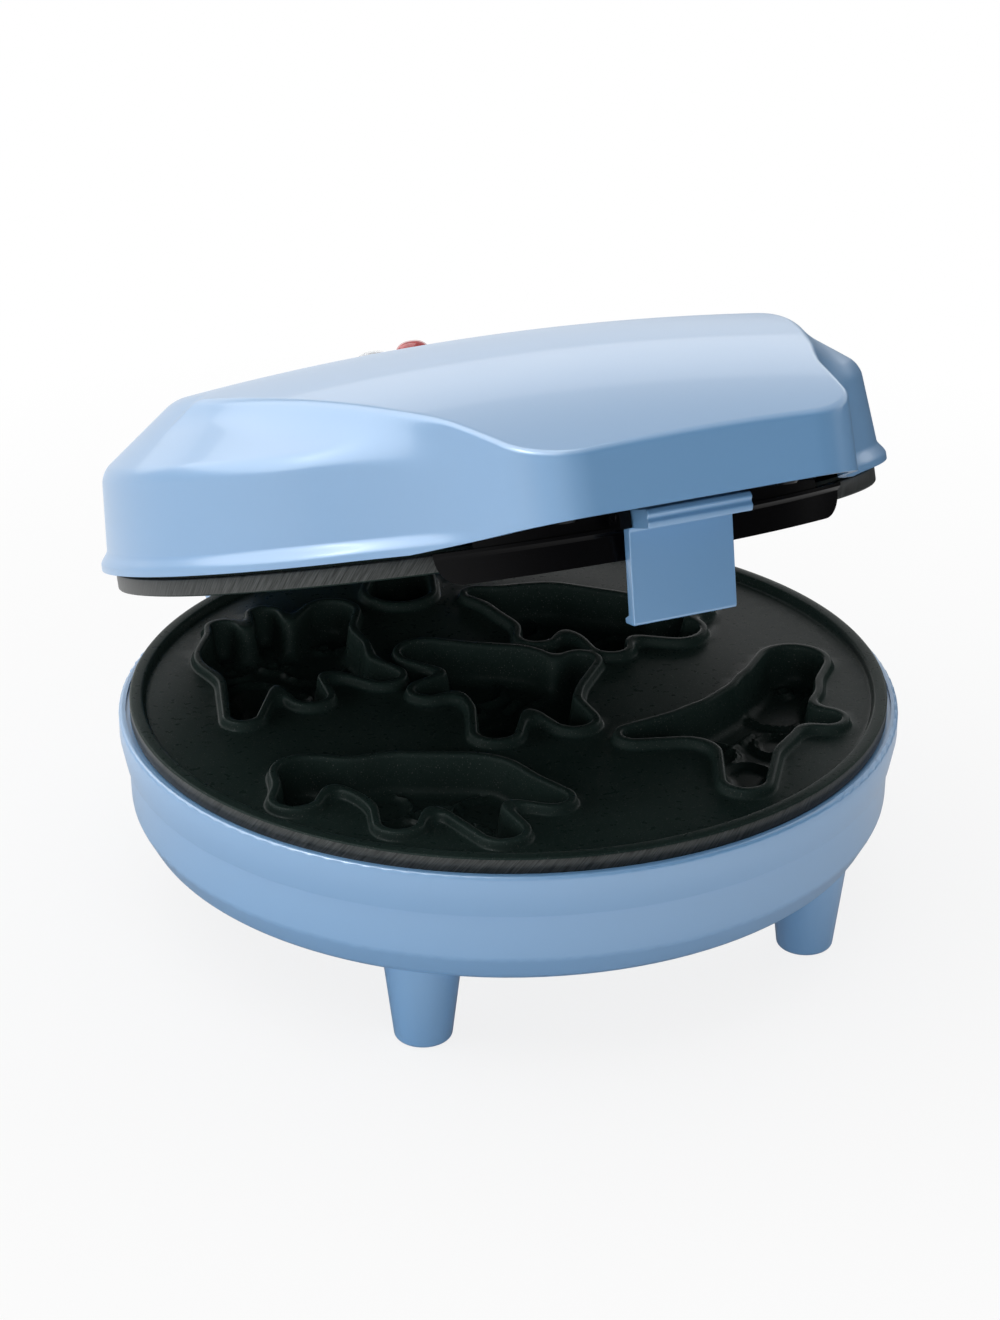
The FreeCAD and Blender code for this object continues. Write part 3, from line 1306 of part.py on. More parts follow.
# Check every piece and write it
doc.recompute()
for item in doc.Objects:
    if "Invalid" in item.State or "Error" in item.State:
        raise RuntimeError(f"{item.Label} did not build: {item.State}")
os.makedirs("parts", exist_ok=True)
for item in nodes:
    shape = item.Shape
    if shape.isNull() or not shape.isValid() or not shape.Solids:
        raise RuntimeError(f"{item.Label} has no valid solid")
    shape.exportStep(f"parts/{item.Label}.step")
    volume = shape.Volume / 1000.0
    print(f"{item.Label}: {len(shape.Solids)} solid(s), {volume:.1f} cubic centimetres")
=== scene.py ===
"""Dressed model of a round figure cake maker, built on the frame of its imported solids.

Sizes of the cooker are millimetres, with the lid closed. Patterns and the studio are in metres.
"""

import json
import logging
import math
from dataclasses import dataclass, field
from enum import Enum
from functools import cache
from typing import Callable, Iterable, Optional, Sequence

import bmesh
import bpy
import numpy as np
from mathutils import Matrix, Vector
from mathutils.geometry import delaunay_2d_cdt


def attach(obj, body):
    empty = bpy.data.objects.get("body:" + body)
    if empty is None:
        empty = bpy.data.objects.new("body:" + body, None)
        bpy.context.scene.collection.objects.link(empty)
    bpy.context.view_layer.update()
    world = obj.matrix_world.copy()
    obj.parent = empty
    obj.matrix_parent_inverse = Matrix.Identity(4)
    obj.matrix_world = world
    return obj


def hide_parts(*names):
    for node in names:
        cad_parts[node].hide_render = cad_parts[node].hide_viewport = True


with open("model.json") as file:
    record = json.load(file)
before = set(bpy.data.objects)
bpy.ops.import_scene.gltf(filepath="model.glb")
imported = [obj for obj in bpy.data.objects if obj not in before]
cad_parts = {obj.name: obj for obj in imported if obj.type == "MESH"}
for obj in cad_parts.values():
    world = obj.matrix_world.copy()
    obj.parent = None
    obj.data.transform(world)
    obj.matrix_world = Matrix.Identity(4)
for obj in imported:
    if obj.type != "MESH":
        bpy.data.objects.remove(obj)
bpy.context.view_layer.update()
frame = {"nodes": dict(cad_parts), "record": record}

LOG = logging.getLogger("figure_maker")
MM = 0.001
TURN = 2.0 * math.pi
Place = tuple[float, float, float]
Colour = tuple[float, float, float]
Span = tuple[float, float]
Profile = list[tuple[float, float]]
Faces = list[tuple[int, ...]]
Skin = tuple[np.ndarray, np.ndarray, Faces]
Socket = bpy.types.NodeSocket
Inputs = dict[str | int, object]


class Body(Enum):
    """Rigid bodies that pieces ride on."""

    BASE = "base"
    LID = "lid"
    LATCH = "latch"


class Slot(Enum):
    """Material slots of the record."""

    SHELL = "blue_shell"
    TRIM = "black_trim"
    COAT = "non_stick"
    SHEET = "bright_sheet"
    STEEL = "steel"
    SCREW = "screw_steel"
    HEATER = "heating_tube"
    RUBBER = "black_rubber"
    CERAMIC = "cream_ceramic"
    FUSE = "fuse_case"
    RED = "red_lens"
    CLEAR = "clear_lens"
    BULB = "bulb_glass"


class Extra(Enum):
    """Finishes that no slot of the record has."""

    EDGE = "turned_edge"
    DARK_STEEL = "dark_steel"


@dataclass(frozen=True)
class Tag:
    """Name of a piece, the solid that it stands for, its body and its slot."""

    name: str
    node: str
    body: Body
    slot: Slot


# Finishes


class NodeNet:
    """Node tree with short ways to add and link its nodes."""

    def __init__(self, tree: bpy.types.NodeTree) -> None:
        """Empty a tree and take it over.

        Args:
            tree: The tree to fill.
        """
        self.tree = tree
        tree.nodes.clear()

    def put(self, kind: str, inputs: Optional[Inputs] = None, **values: object) -> bpy.types.Node:
        """Add a node.

        Args:
            kind: Node type.
            inputs: Sockets or plain values by input name or number; a list links each of its sockets.
            values: Node properties.

        Returns:
            The new node.
        """
        node = self.tree.nodes.new(kind)
        for key, value in values.items():
            setattr(node, key, value)
        for key, value in (inputs or {}).items():
            for item in value if isinstance(value, list) else [value]:
                if isinstance(item, Socket):
                    self.tree.links.new(item, node.inputs[key])
                else:
                    node.inputs[key].default_value = item
        return node

    def add(
        self, kind: str, inputs: Optional[Inputs] = None, result: int | str = 0, **values: object
    ) -> Socket:
        """Add a node and take one of its outputs.

        Args:
            kind: Node type.
            inputs: Sockets or plain values, as for put.
            result: Wanted output.
            values: Node properties.

        Returns:
            The output socket.
        """
        return self.put(kind, inputs, **values).outputs[result]

    def math(self, operation: str, first: object, second: object) -> Socket:
        """Combine two numbers or sockets.

        Args:
            operation: Name of the operation.
            first: First number or socket.
            second: Second number or socket.

        Returns:
            The result socket.
        """
        return self.add("ShaderNodeMath", {0: first, 1: second}, operation=operation)

    def spread(self, value: Socket, ends: Span, span: Span, **values: object) -> Socket:
        """Map a value onto another range.

        Args:
            value: Input value.
            ends: Results at both ends of the span.
            span: Range of the input.
            values: Node properties.

        Returns:
            The value socket.
        """
        limits = {"From Min": span[0], "From Max": span[1], "To Min": ends[0], "To Max": ends[1]}
        return self.add("ShaderNodeMapRange", {"Value": value, **limits}, **values)

    def layered(self, layer: Socket, covers: Iterable[tuple[Socket, Socket]]) -> Socket:
        """Lay shaders over a shader.

        Args:
            layer: Shader below.
            covers: Weight and shader of each cover.

        Returns:
            The shader socket.
        """
        for weight, cover in covers:
            layer = self.add("ShaderNodeMixShader", {0: weight, 1: layer, 2: cover})
        return layer


@dataclass(frozen=True)
class Pattern:
    """Noise over a piece: features per metre, octaves, stretch per axis and weight of the fine octaves.

    With a slant in degrees it follows the piece's own map, turned by that angle.
    """

    scale: float
    detail: float
    stretch: Place = (1.0, 1.0, 1.0)
    weight: float = 0.5
    slant: Optional[float] = None

    def draw(self, net: NodeNet) -> Socket:
        """Add the pattern to a material.

        Args:
            net: Node tree of the material.

        Returns:
            The value socket.
        """
        place = net.add("ShaderNodeTexCoord", result="Object" if self.slant is None else "UV")
        if self.slant is not None:
            turned = (0.0, 0.0, math.radians(self.slant))
            place = net.add("ShaderNodeMapping", {"Vector": place, "Rotation": turned})
        place = net.add("ShaderNodeMapping", {"Vector": place, "Scale": self.stretch})
        grain = {"Scale": self.scale, "Detail": self.detail, "Roughness": self.weight}
        return net.add("ShaderNodeTexNoise", {"Vector": place, **grain}, "Fac")


MIDDLE: Span = (0.3, 0.7)
SPECKS = Pattern(2600.0, 1.0)
SPECK_SPAN: Span = (0.66, 0.74)
SPECK_SHARE: Span = (0.0, 0.55)


@dataclass(frozen=True)
class Recipe:
    """Procedural finish: colour, gloss and fine relief follow noise patterns, the tint's where none is given.

    The relief is a depth in metres and a strength. Fixed values are the same all over the surface.
    """

    name: str
    dark: Colour
    pale: Colour
    rough: Span
    tint: Pattern
    gloss: Optional[Pattern] = None
    grain: Optional[Pattern] = None
    relief: Optional[Span] = None
    fixed: dict[str, float] = field(default_factory=dict)
    tint_span: Span = MIDDLE
    gloss_span: Span = MIDDLE
    speck: Optional[Colour] = None

    def paint(self, net: NodeNet) -> Socket:
        """Add the colour.

        Args:
            net: Node tree of the material.

        Returns:
            The colour socket.
        """
        ramp = net.put("ShaderNodeValToRGB", {"Fac": self.tint.draw(net)})
        stops = zip(ramp.color_ramp.elements, self.tint_span, (self.dark, self.pale))
        for element, position, colour in stops:
            element.position = position
            element.color = (*colour, 1.0)
        if self.speck is None:
            return ramp.outputs["Color"]
        share = net.spread(SPECKS.draw(net), SPECK_SHARE, SPECK_SPAN)
        mixed = {0: share, 6: ramp.outputs["Color"], 7: (*self.speck, 1.0)}
        return net.add("ShaderNodeMix", mixed, 2, data_type="RGBA")

    def build(self) -> bpy.types.Material:
        """Make the material.

        Returns:
            The material.
        """
        material = bpy.data.materials.new(self.name)
        material.use_nodes = True
        net = NodeNet(material.node_tree)
        gloss = (self.gloss or self.tint).draw(net)
        looks = {"Base Color": self.paint(net), "Roughness": net.spread(gloss, self.rough, self.gloss_span)}
        if self.relief:
            height = (self.grain or self.tint).draw(net)
            bump = {"Height": height, "Distance": self.relief[0], "Strength": self.relief[1]}
            looks["Normal"] = net.add("ShaderNodeBump", bump)
        shader = net.add("ShaderNodeBsdfPrincipled", {**looks, **self.fixed})
        net.put("ShaderNodeOutputMaterial", {"Surface": shader})
        return material


def plastic(
    name: str, pale: Colour, dark: Colour, rough: Span = (0.27, 0.31), coat: float = 0.22, index: float = 2.2
) -> Recipe:
    """Moulded plastic with a faint flow mottling and a soft skin.

    Args:
        name: Name of the finish.
        pale: Lighter colour.
        dark: Deeper colour.
        rough: Range of its roughness.
        coat: Weight of its clear skin.
        index: Index of refraction, raised for a strong sheen.

    Returns:
        The recipe.
    """
    flow, gloss, grain = Pattern(9.0, 4.0, (1.0, 1.0, 0.5)), Pattern(30.0, 3.0), Pattern(1400.0, 2.0)
    fixed = {"Coat Weight": coat, "Coat Roughness": 0.05, "IOR": index}
    whole = (0.0, 1.0)
    return Recipe(name, dark, pale, rough, flow, gloss, grain, (0.000002, 0.25), fixed, whole, whole)


def metal(name: str, pale: Colour, dark: Colour, stretch: Place = (40.0, 1.0, 1.0)) -> Recipe:
    """Drawn or rolled metal with fine streaks.

    Args:
        name: Name of the finish.
        pale: Lighter colour.
        dark: Deeper colour.
        stretch: Squeeze of the streaks per axis.

    Returns:
        The recipe.
    """
    streaks = Pattern(60.0, 4.0, stretch)
    return Recipe(name, dark, pale, (0.22, 0.38), streaks, relief=(0.00002, 0.4), fixed={"Metallic": 1.0})


def matt(name: str, dark: Colour, pale: Colour, rough: Span) -> Recipe:
    """Rubber or ceramic with a grainy matt skin.

    Args:
        name: Name of the finish.
        dark: Deeper colour.
        pale: Lighter colour.
        rough: Range of its roughness.

    Returns:
        The recipe.
    """
    return Recipe(name, dark, pale, rough, Pattern(900.0, 4.0), relief=(0.00005, 0.5))


def lens(name: str, pale: Colour, dark: Colour, through: float) -> Recipe:
    """Tinted clear plastic or glass.

    Args:
        name: Name of the finish.
        pale: Lighter colour.
        dark: Deeper colour.
        through: Share of light that passes.

    Returns:
        The recipe.
    """
    fixed = {"Transmission Weight": through, "Coat Weight": 0.6, "Coat Roughness": 0.03, "IOR": 1.49}
    return Recipe(name, dark, pale, (0.05, 0.12), Pattern(220.0, 3.0), Pattern(400.0, 2.0), fixed=fixed)


RECIPES: dict[Slot | Extra, Recipe] = {
    Slot.SHELL: plastic("light_blue_plastic", (0.172, 0.375, 0.652), (0.163, 0.363, 0.638)),
    Slot.TRIM: plastic(
        "black_plastic", (0.0025, 0.0025, 0.003), (0.002, 0.002, 0.0025), (0.12, 0.20), coat=0.0, index=1.22
    ),
    Slot.COAT: Recipe(
        "non_stick_coat",
        dark=(0.011, 0.021, 0.0185),
        pale=(0.017, 0.029, 0.026),
        rough=(0.26, 0.36),
        tint=Pattern(40.0, 5.0),
        gloss=Pattern(500.0, 3.0),
        grain=Pattern(1800.0, 2.0),
        relief=(0.00004, 0.35),
        fixed={"IOR": 1.5, "Specular IOR Level": 0.06},
        speck=(0.12, 0.125, 0.12),
    ),
    Extra.EDGE: Recipe(
        "turned_plate_edge",
        dark=(0.014, 0.017, 0.0165),
        pale=(0.080, 0.086, 0.085),
        rough=(0.32, 0.52),
        tint=Pattern(2400.0, 4.0, (1.0, 0.05, 1.0), weight=0.6, slant=40.0),
        relief=(0.00012, 0.5),
        fixed={"Metallic": 0.35},
        tint_span=(0.36, 0.68),
    ),
    Slot.SHEET: metal("bright_sheet", (0.80, 0.80, 0.81), (0.68, 0.69, 0.70)),
    Slot.STEEL: metal("drawn_steel", (0.62, 0.62, 0.63), (0.46, 0.46, 0.47)),
    Slot.SCREW: metal("zinc_screw", (0.66, 0.66, 0.62), (0.50, 0.50, 0.46), (3.0, 3.0, 3.0)),
    Extra.DARK_STEEL: metal("black_steel", (0.030, 0.030, 0.031), (0.018, 0.018, 0.019), (3.0, 3.0, 3.0)),
    Slot.HEATER: metal("heated_tube", (0.30, 0.26, 0.23), (0.17, 0.14, 0.13), (4.0, 4.0, 4.0)),
    Slot.FUSE: metal("fuse_case", (0.70, 0.66, 0.56), (0.55, 0.51, 0.43), (2.0, 2.0, 2.0)),
    Slot.RUBBER: matt("black_rubber", (0.015, 0.015, 0.015), (0.032, 0.032, 0.032), (0.6, 0.8)),
    Slot.CERAMIC: matt("cream_ceramic", (0.62, 0.57, 0.47), (0.78, 0.73, 0.63), (0.45, 0.65)),
    Slot.RED: lens("red_lamp_lens", (0.62, 0.012, 0.016), (0.42, 0.004, 0.008), 0.15),
    Slot.CLEAR: lens("clear_lamp_lens", (0.86, 0.87, 0.88), (0.76, 0.78, 0.80), 0.35),
    Slot.BULB: lens("bulb_glass", (0.90, 0.86, 0.80), (0.82, 0.78, 0.72), 0.85),
}


@cache
def finish(look: Slot | Extra) -> bpy.types.Material:
    """Material of a finish, made at its first use.

    Args:
        look: The finish.

    Returns:
        The material.
    """
    return RECIPES[look].build()


# Shared geometry


@dataclass(frozen=True)
class Hinge:
    """Hinge axis along X, and the angle in degrees by which the lid stands open at rest."""

    y: float = 119.7
    z: float = 60.4
    open_angle: float = 19.84

    def open(self, points: np.ndarray) -> np.ndarray:
        """Turn points of the closed lid to their place at rest.

        Args:
            points: Rows of x, y, z.

        Returns:
            The turned rows.
        """
        angle = math.radians(-self.open_angle)
        dy, dz = points[:, 1] - self.y, points[:, 2] - self.z
        turned = points.copy()
        turned[:, 1] = self.y + dy * math.cos(angle) - dz * math.sin(angle)
        turned[:, 2] = self.z + dy * math.sin(angle) + dz * math.cos(angle)
        return turned


HINGE = Hinge()
WELD = 0.002
POLE = 1e-6
HALVINGS = 40
END_STEPS = (0, 25, 50, 70, 90)


def placed(name: str, data: bpy.types.ID) -> bpy.types.Object:
    """Object for some data, linked into the scene.

    Args:
        name: Name of the object.
        data: Its mesh, lamp or camera.

    Returns:
        The object.
    """
    item = bpy.data.objects.new(name, data)
    bpy.context.scene.collection.objects.link(item)
    return item


def settle(piece: bpy.types.Object) -> None:
    """Keep what the modifiers make as the piece's own mesh.

    Args:
        piece: Object with modifiers.
    """
    evaluated = piece.evaluated_get(bpy.context.evaluated_depsgraph_get())
    mesh = bpy.data.meshes.new_from_object(evaluated)
    piece.modifiers.clear()
    piece.data = mesh


def smooth(mesh: bpy.types.Mesh, sharp: float) -> None:
    """Shade a mesh smoothly.

    Args:
        mesh: The mesh.
        sharp: Edges over this angle stay crisp, in degrees.
    """
    mesh.shade_smooth()
    mesh.set_sharp_from_angle(angle=math.radians(sharp))


def dress(piece: bpy.types.Object, tag: Tag) -> None:
    """Tie a piece to its body and hide the solid that it stands for.

    Args:
        piece: The finished object.
        tag: What it is.
    """
    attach(piece, tag.body.value)
    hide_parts(tag.node)
    LOG.info("%s rides on %s, %d faces", piece.name, tag.body.value, len(piece.data.polygons))


def quads(rows: Sequence[Sequence[int]], closed: bool = True) -> Faces:
    """Faces between neighbouring rows of corners; a row of one repeated corner is a pole.

    Args:
        rows: Corner numbers of each row.
        closed: The rows are rings.

    Returns:
        The faces.
    """
    faces: Faces = []
    for low, high in zip(rows, rows[1:]):
        for i in range(len(low) if closed else len(low) - 1):
            j = (i + 1) % len(low)
            face = tuple(dict.fromkeys((low[i], low[j], high[j], high[i])))
            if len(face) > 2:
                faces.append(face)
    return faces


@dataclass
class Part:
    """A mesh under construction: corner points, faces, and the finish and map of each face."""

    points: list[np.ndarray] = field(default_factory=list)
    faces: Faces = field(default_factory=list)
    tones: list[int] = field(default_factory=list)
    maps: list[float] = field(default_factory=list)
    count: int = 0

    def add(
        self,
        points: np.ndarray,
        faces: Iterable[Sequence[int]],
        tone: int = 0,
        uv: Optional[np.ndarray] = None,
    ) -> None:
        """Add points and faces.

        Args:
            points: Rows of x, y, z.
            faces: Corner numbers within these points.
            tone: Number of the finish.
            uv: Map place of each point, in metres.
        """
        places = np.zeros((len(points), 2)) if uv is None else uv
        for face in faces:
            self.faces.append(tuple(int(corner) + self.count for corner in face))
            self.tones.append(tone)
            self.maps.extend(value for corner in face for value in places[corner])
        self.points.append(np.asarray(points, float))
        self.count += len(points)

    def lathe(self, profile: Profile, centre: tuple[float, float], segments: int) -> None:
        """Turn a profile about a vertical axis; its points on the axis become poles.

        Args:
            profile: Radius and height along the profile.
            centre: Axis in plan.
            segments: Steps round the axis.
        """
        rows: list[list[int]] = []
        points: list[Place] = []
        for radius, height in profile:
            steps = segments if radius > POLE else 1
            rows.append([len(points) + i % steps for i in range(segments)])
            for i in range(steps):
                angle = i * TURN / segments
                x, y = radius * math.cos(angle), radius * math.sin(angle)
                points.append((centre[0] + x, centre[1] + y, height))
        self.add(np.array(points), quads(rows))

    def finish(self, tag: Tag, sharp: float, *extra: Extra) -> None:
        """Make the piece, with points that fall together welded and all faces turned outwards.

        Args:
            tag: What it is.
            sharp: Edges over this angle stay crisp, in degrees.
            extra: Finishes after that of its slot.
        """
        points = np.vstack(self.points)
        if tag.body is not Body.BASE:
            points = HINGE.open(points)
        mesh = bpy.data.meshes.new(tag.name)
        mesh.from_pydata((points * MM).tolist(), [], self.faces)
        for look in (tag.slot, *extra):
            mesh.materials.append(finish(look))
        mesh.polygons.foreach_set("material_index", self.tones)
        mesh.uv_layers.new(name="surface").data.foreach_set("uv", self.maps)
        mesh.validate()
        shape = bmesh.new()
        shape.from_mesh(mesh)
        bmesh.ops.remove_doubles(shape, verts=shape.verts, dist=WELD * MM)
        bmesh.ops.recalc_face_normals(shape, faces=shape.faces)
        shape.to_mesh(mesh)
        shape.free()
        smooth(mesh, sharp)
        dress(placed(tag.name, mesh), tag)


@dataclass(frozen=True)
class Softened:
    """Copy of a solid with rounded edges; flat faces stay flat to the eye. Angles are degrees."""

    tag: Tag
    width: float
    look: Optional[Extra] = None
    weld: float = 0.004
    flat_angle: float = 0.6
    crisp_angle: float = 32.0
    sharp: float = 38.0
    steps: int = 3
    face_weight: int = 100

    def build(self) -> None:
        """Make the piece."""
        mesh = frame["nodes"][self.tag.node].data.copy()
        shape = bmesh.new()
        shape.from_mesh(mesh)
        bmesh.ops.remove_doubles(shape, verts=shape.verts, dist=self.weld * MM)
        bmesh.ops.dissolve_degenerate(shape, edges=shape.edges, dist=self.weld * MM)
        flat = math.radians(self.flat_angle)
        bmesh.ops.dissolve_limit(
            shape, angle_limit=flat, verts=shape.verts, edges=shape.edges, use_dissolve_boundaries=False
        )
        crisp = math.radians(self.crisp_angle)
        edges = [e for e in shape.edges if len(e.link_faces) == 2 and e.calc_face_angle(0.0) > crisp]
        bmesh.ops.bevel(
            shape,
            geom=edges,
            offset=self.width * MM,
            offset_type="OFFSET",
            segments=self.steps,
            profile=0.5,
            affect="EDGES",
            clamp_overlap=True,
        )
        shape.to_mesh(mesh)
        shape.free()
        mesh.materials.clear()
        mesh.materials.append(finish(self.look or self.tag.slot))
        smooth(mesh, self.sharp)
        piece = placed(self.tag.name, mesh)
        weights = piece.modifiers.new("flat_faces", "WEIGHTED_NORMAL")
        weights.weight = self.face_weight
        weights.keep_sharp = True
        settle(piece)
        dress(piece, self.tag)


SOFTENED = (
    Softened(Tag("bowl", "base_bowl", Body.BASE, Slot.SHELL), 0.8),
    Softened(Tag("hinge_rod", "hinge_pin", Body.BASE, Slot.STEEL), 0.3),
    Softened(Tag("inlet_bush", "cord_inlet_bush", Body.BASE, Slot.RUBBER), 0.3),
    Softened(Tag("nose_guard", "front_guard", Body.LID, Slot.TRIM), 0.55),
    Softened(Tag("latch_rod", "latch_pin", Body.LID, Slot.STEEL), 0.25, Extra.DARK_STEEL),
)


def rounded(corners: Sequence[Place], steps: int = 6) -> Profile:
    """Closed profile with its corners turned to arcs.

    Args:
        corners: Two coordinates and the rounding of each corner.
        steps: Faces per arc.

    Returns:
        The points of the profile.
    """
    result: Profile = []
    for index, (x, y, radius) in enumerate(corners):
        if radius <= 0.0:
            result.append((x, y))
            continue
        here = Vector((x, y))
        before = (Vector(corners[index - 1][:2]) - here).normalized()
        after = (Vector(corners[(index + 1) % len(corners)][:2]) - here).normalized()
        half = before.angle(after) / 2.0
        reach = radius / math.tan(half)
        middle = here + (before + after).normalized() * (radius / math.sin(half))
        start, end = here + before * reach - middle, here + after * reach - middle
        sweep = math.atan2(start.x * end.y - start.y * end.x, start.dot(end))
        for step in range(steps + 1):
            turn = sweep * step / steps
            spoke_x = start.x * math.cos(turn) - start.y * math.sin(turn)
            spoke_y = start.x * math.sin(turn) + start.y * math.cos(turn)
            result.append((middle.x + spoke_x, middle.y + spoke_y))
    return result


def arc(centre: tuple[float, float], radius: float, start: float, sweep: float, steps: int) -> Profile:
    """Points on an arc.

    Args:
        centre: Its middle.
        radius: Its radius.
        start: Angle of its first point, in degrees.
        sweep: Angle to its last point, in degrees.
        steps: Faces along it.

    Returns:
        The points.
    """
    angles = (math.radians(start + sweep * step / steps) for step in range(steps + 1))
    return [(centre[0] + radius * math.cos(a), centre[1] + radius * math.sin(a)) for a in angles]


def prism(part: Part, outline: Profile, half: float, edge: float) -> None:
    """Outline in the Y-Z plane swept along X, with rounded ends.

    Args:
        part: Mesh to add to.
        outline: Corner points in order, turning left.
        half: Half the sweep.
        edge: Rounding of the ends, less than the radius of any arc in the outline.
    """
    ring = np.array(outline)
    count = len(ring)
    first, second = ring - np.roll(ring, 1, axis=0), np.roll(ring, -1, axis=0) - ring
    along = first / np.linalg.norm(first, axis=1)[:, None] + second / np.linalg.norm(second, axis=1)[:, None]
    inward = np.stack([-along[:, 1], along[:, 0]], axis=1)
    inward /= np.linalg.norm(inward, axis=1)[:, None]
    left = []
    for degrees in END_STEPS:
        turn = math.radians(degrees)
        left.append((edge * (1.0 - math.cos(turn)) - half, edge * (1.0 - math.sin(turn))))
    stations = left + [(-x, inset) for x, inset in reversed(left)]
    points = [np.column_stack([np.full(count, x), ring + inward * inset]) for x, inset in stations]
    rows = [range(row * count, (row + 1) * count) for row in range(len(stations))]
    part.add(np.vstack(points), quads(rows) + [tuple(rows[0])[::-1], tuple(rows[-1])])


def spaced(points: np.ndarray, count: int, bend_weight: float) -> np.ndarray:
    """Places along dense lines, evenly spread by length and by bending.

    Args:
        points: Lines of dense points, shape (lines, dense, 3).
        count: Places wanted on each line.
        bend_weight: Length that one radian of bending counts for.

    Returns:
        Fractions of the dense index, shape (lines, count).
    """
    step = np.diff(points, axis=1)
    length = np.linalg.norm(step, axis=2)
    heading = step / np.maximum(length, 1e-9)[..., None]
    turn = np.zeros_like(length)
    turn[:, 1:] = np.arccos(np.clip(np.sum(heading[:, 1:] * heading[:, :-1], axis=2), -1.0, 1.0))
    measure = np.pad(np.cumsum(length + bend_weight * turn, axis=1), ((0, 0), (1, 0)))
    wanted = np.linspace(0.0, 1.0, count)
    index = np.arange(points.shape[1])
    return np.array([np.interp(wanted * line[-1], line, index) for line in measure])


def leaving(outside: Callable[[np.ndarray], np.ndarray], shape: tuple[int, ...], far: float) -> np.ndarray:
    """Distances at which rays leave a form, found by halving.

    Args:
        outside: Tells for one distance per ray which rays are outside.
        shape: Shape of the rays.
        far: Distance at which all rays are outside.

    Returns:
        One distance per ray.
    """
    low, high = np.zeros(shape), np.full(shape, far)
    for _ in range(HALVINGS):
        middle = (low + high) / 2.0
        out = outside(middle)
        low, high = np.where(out, low, middle), np.where(out, middle, high)
    return (low + high) / 2.0


def round_meet(first: np.ndarray, second: np.ndarray, radius: float) -> np.ndarray:
    """Distance to the common part of two forms, with a rounded outer edge.

    Args:
        first: Distances to the first form.
        second: Distances to the second form.
        radius: Rounding.

    Returns:
        One distance per place.
    """
    corner = np.hypot(np.maximum(radius + first, 0.0), np.maximum(radius + second, 0.0))
    return np.minimum(-radius, np.maximum(first, second)) + corner


# Lid


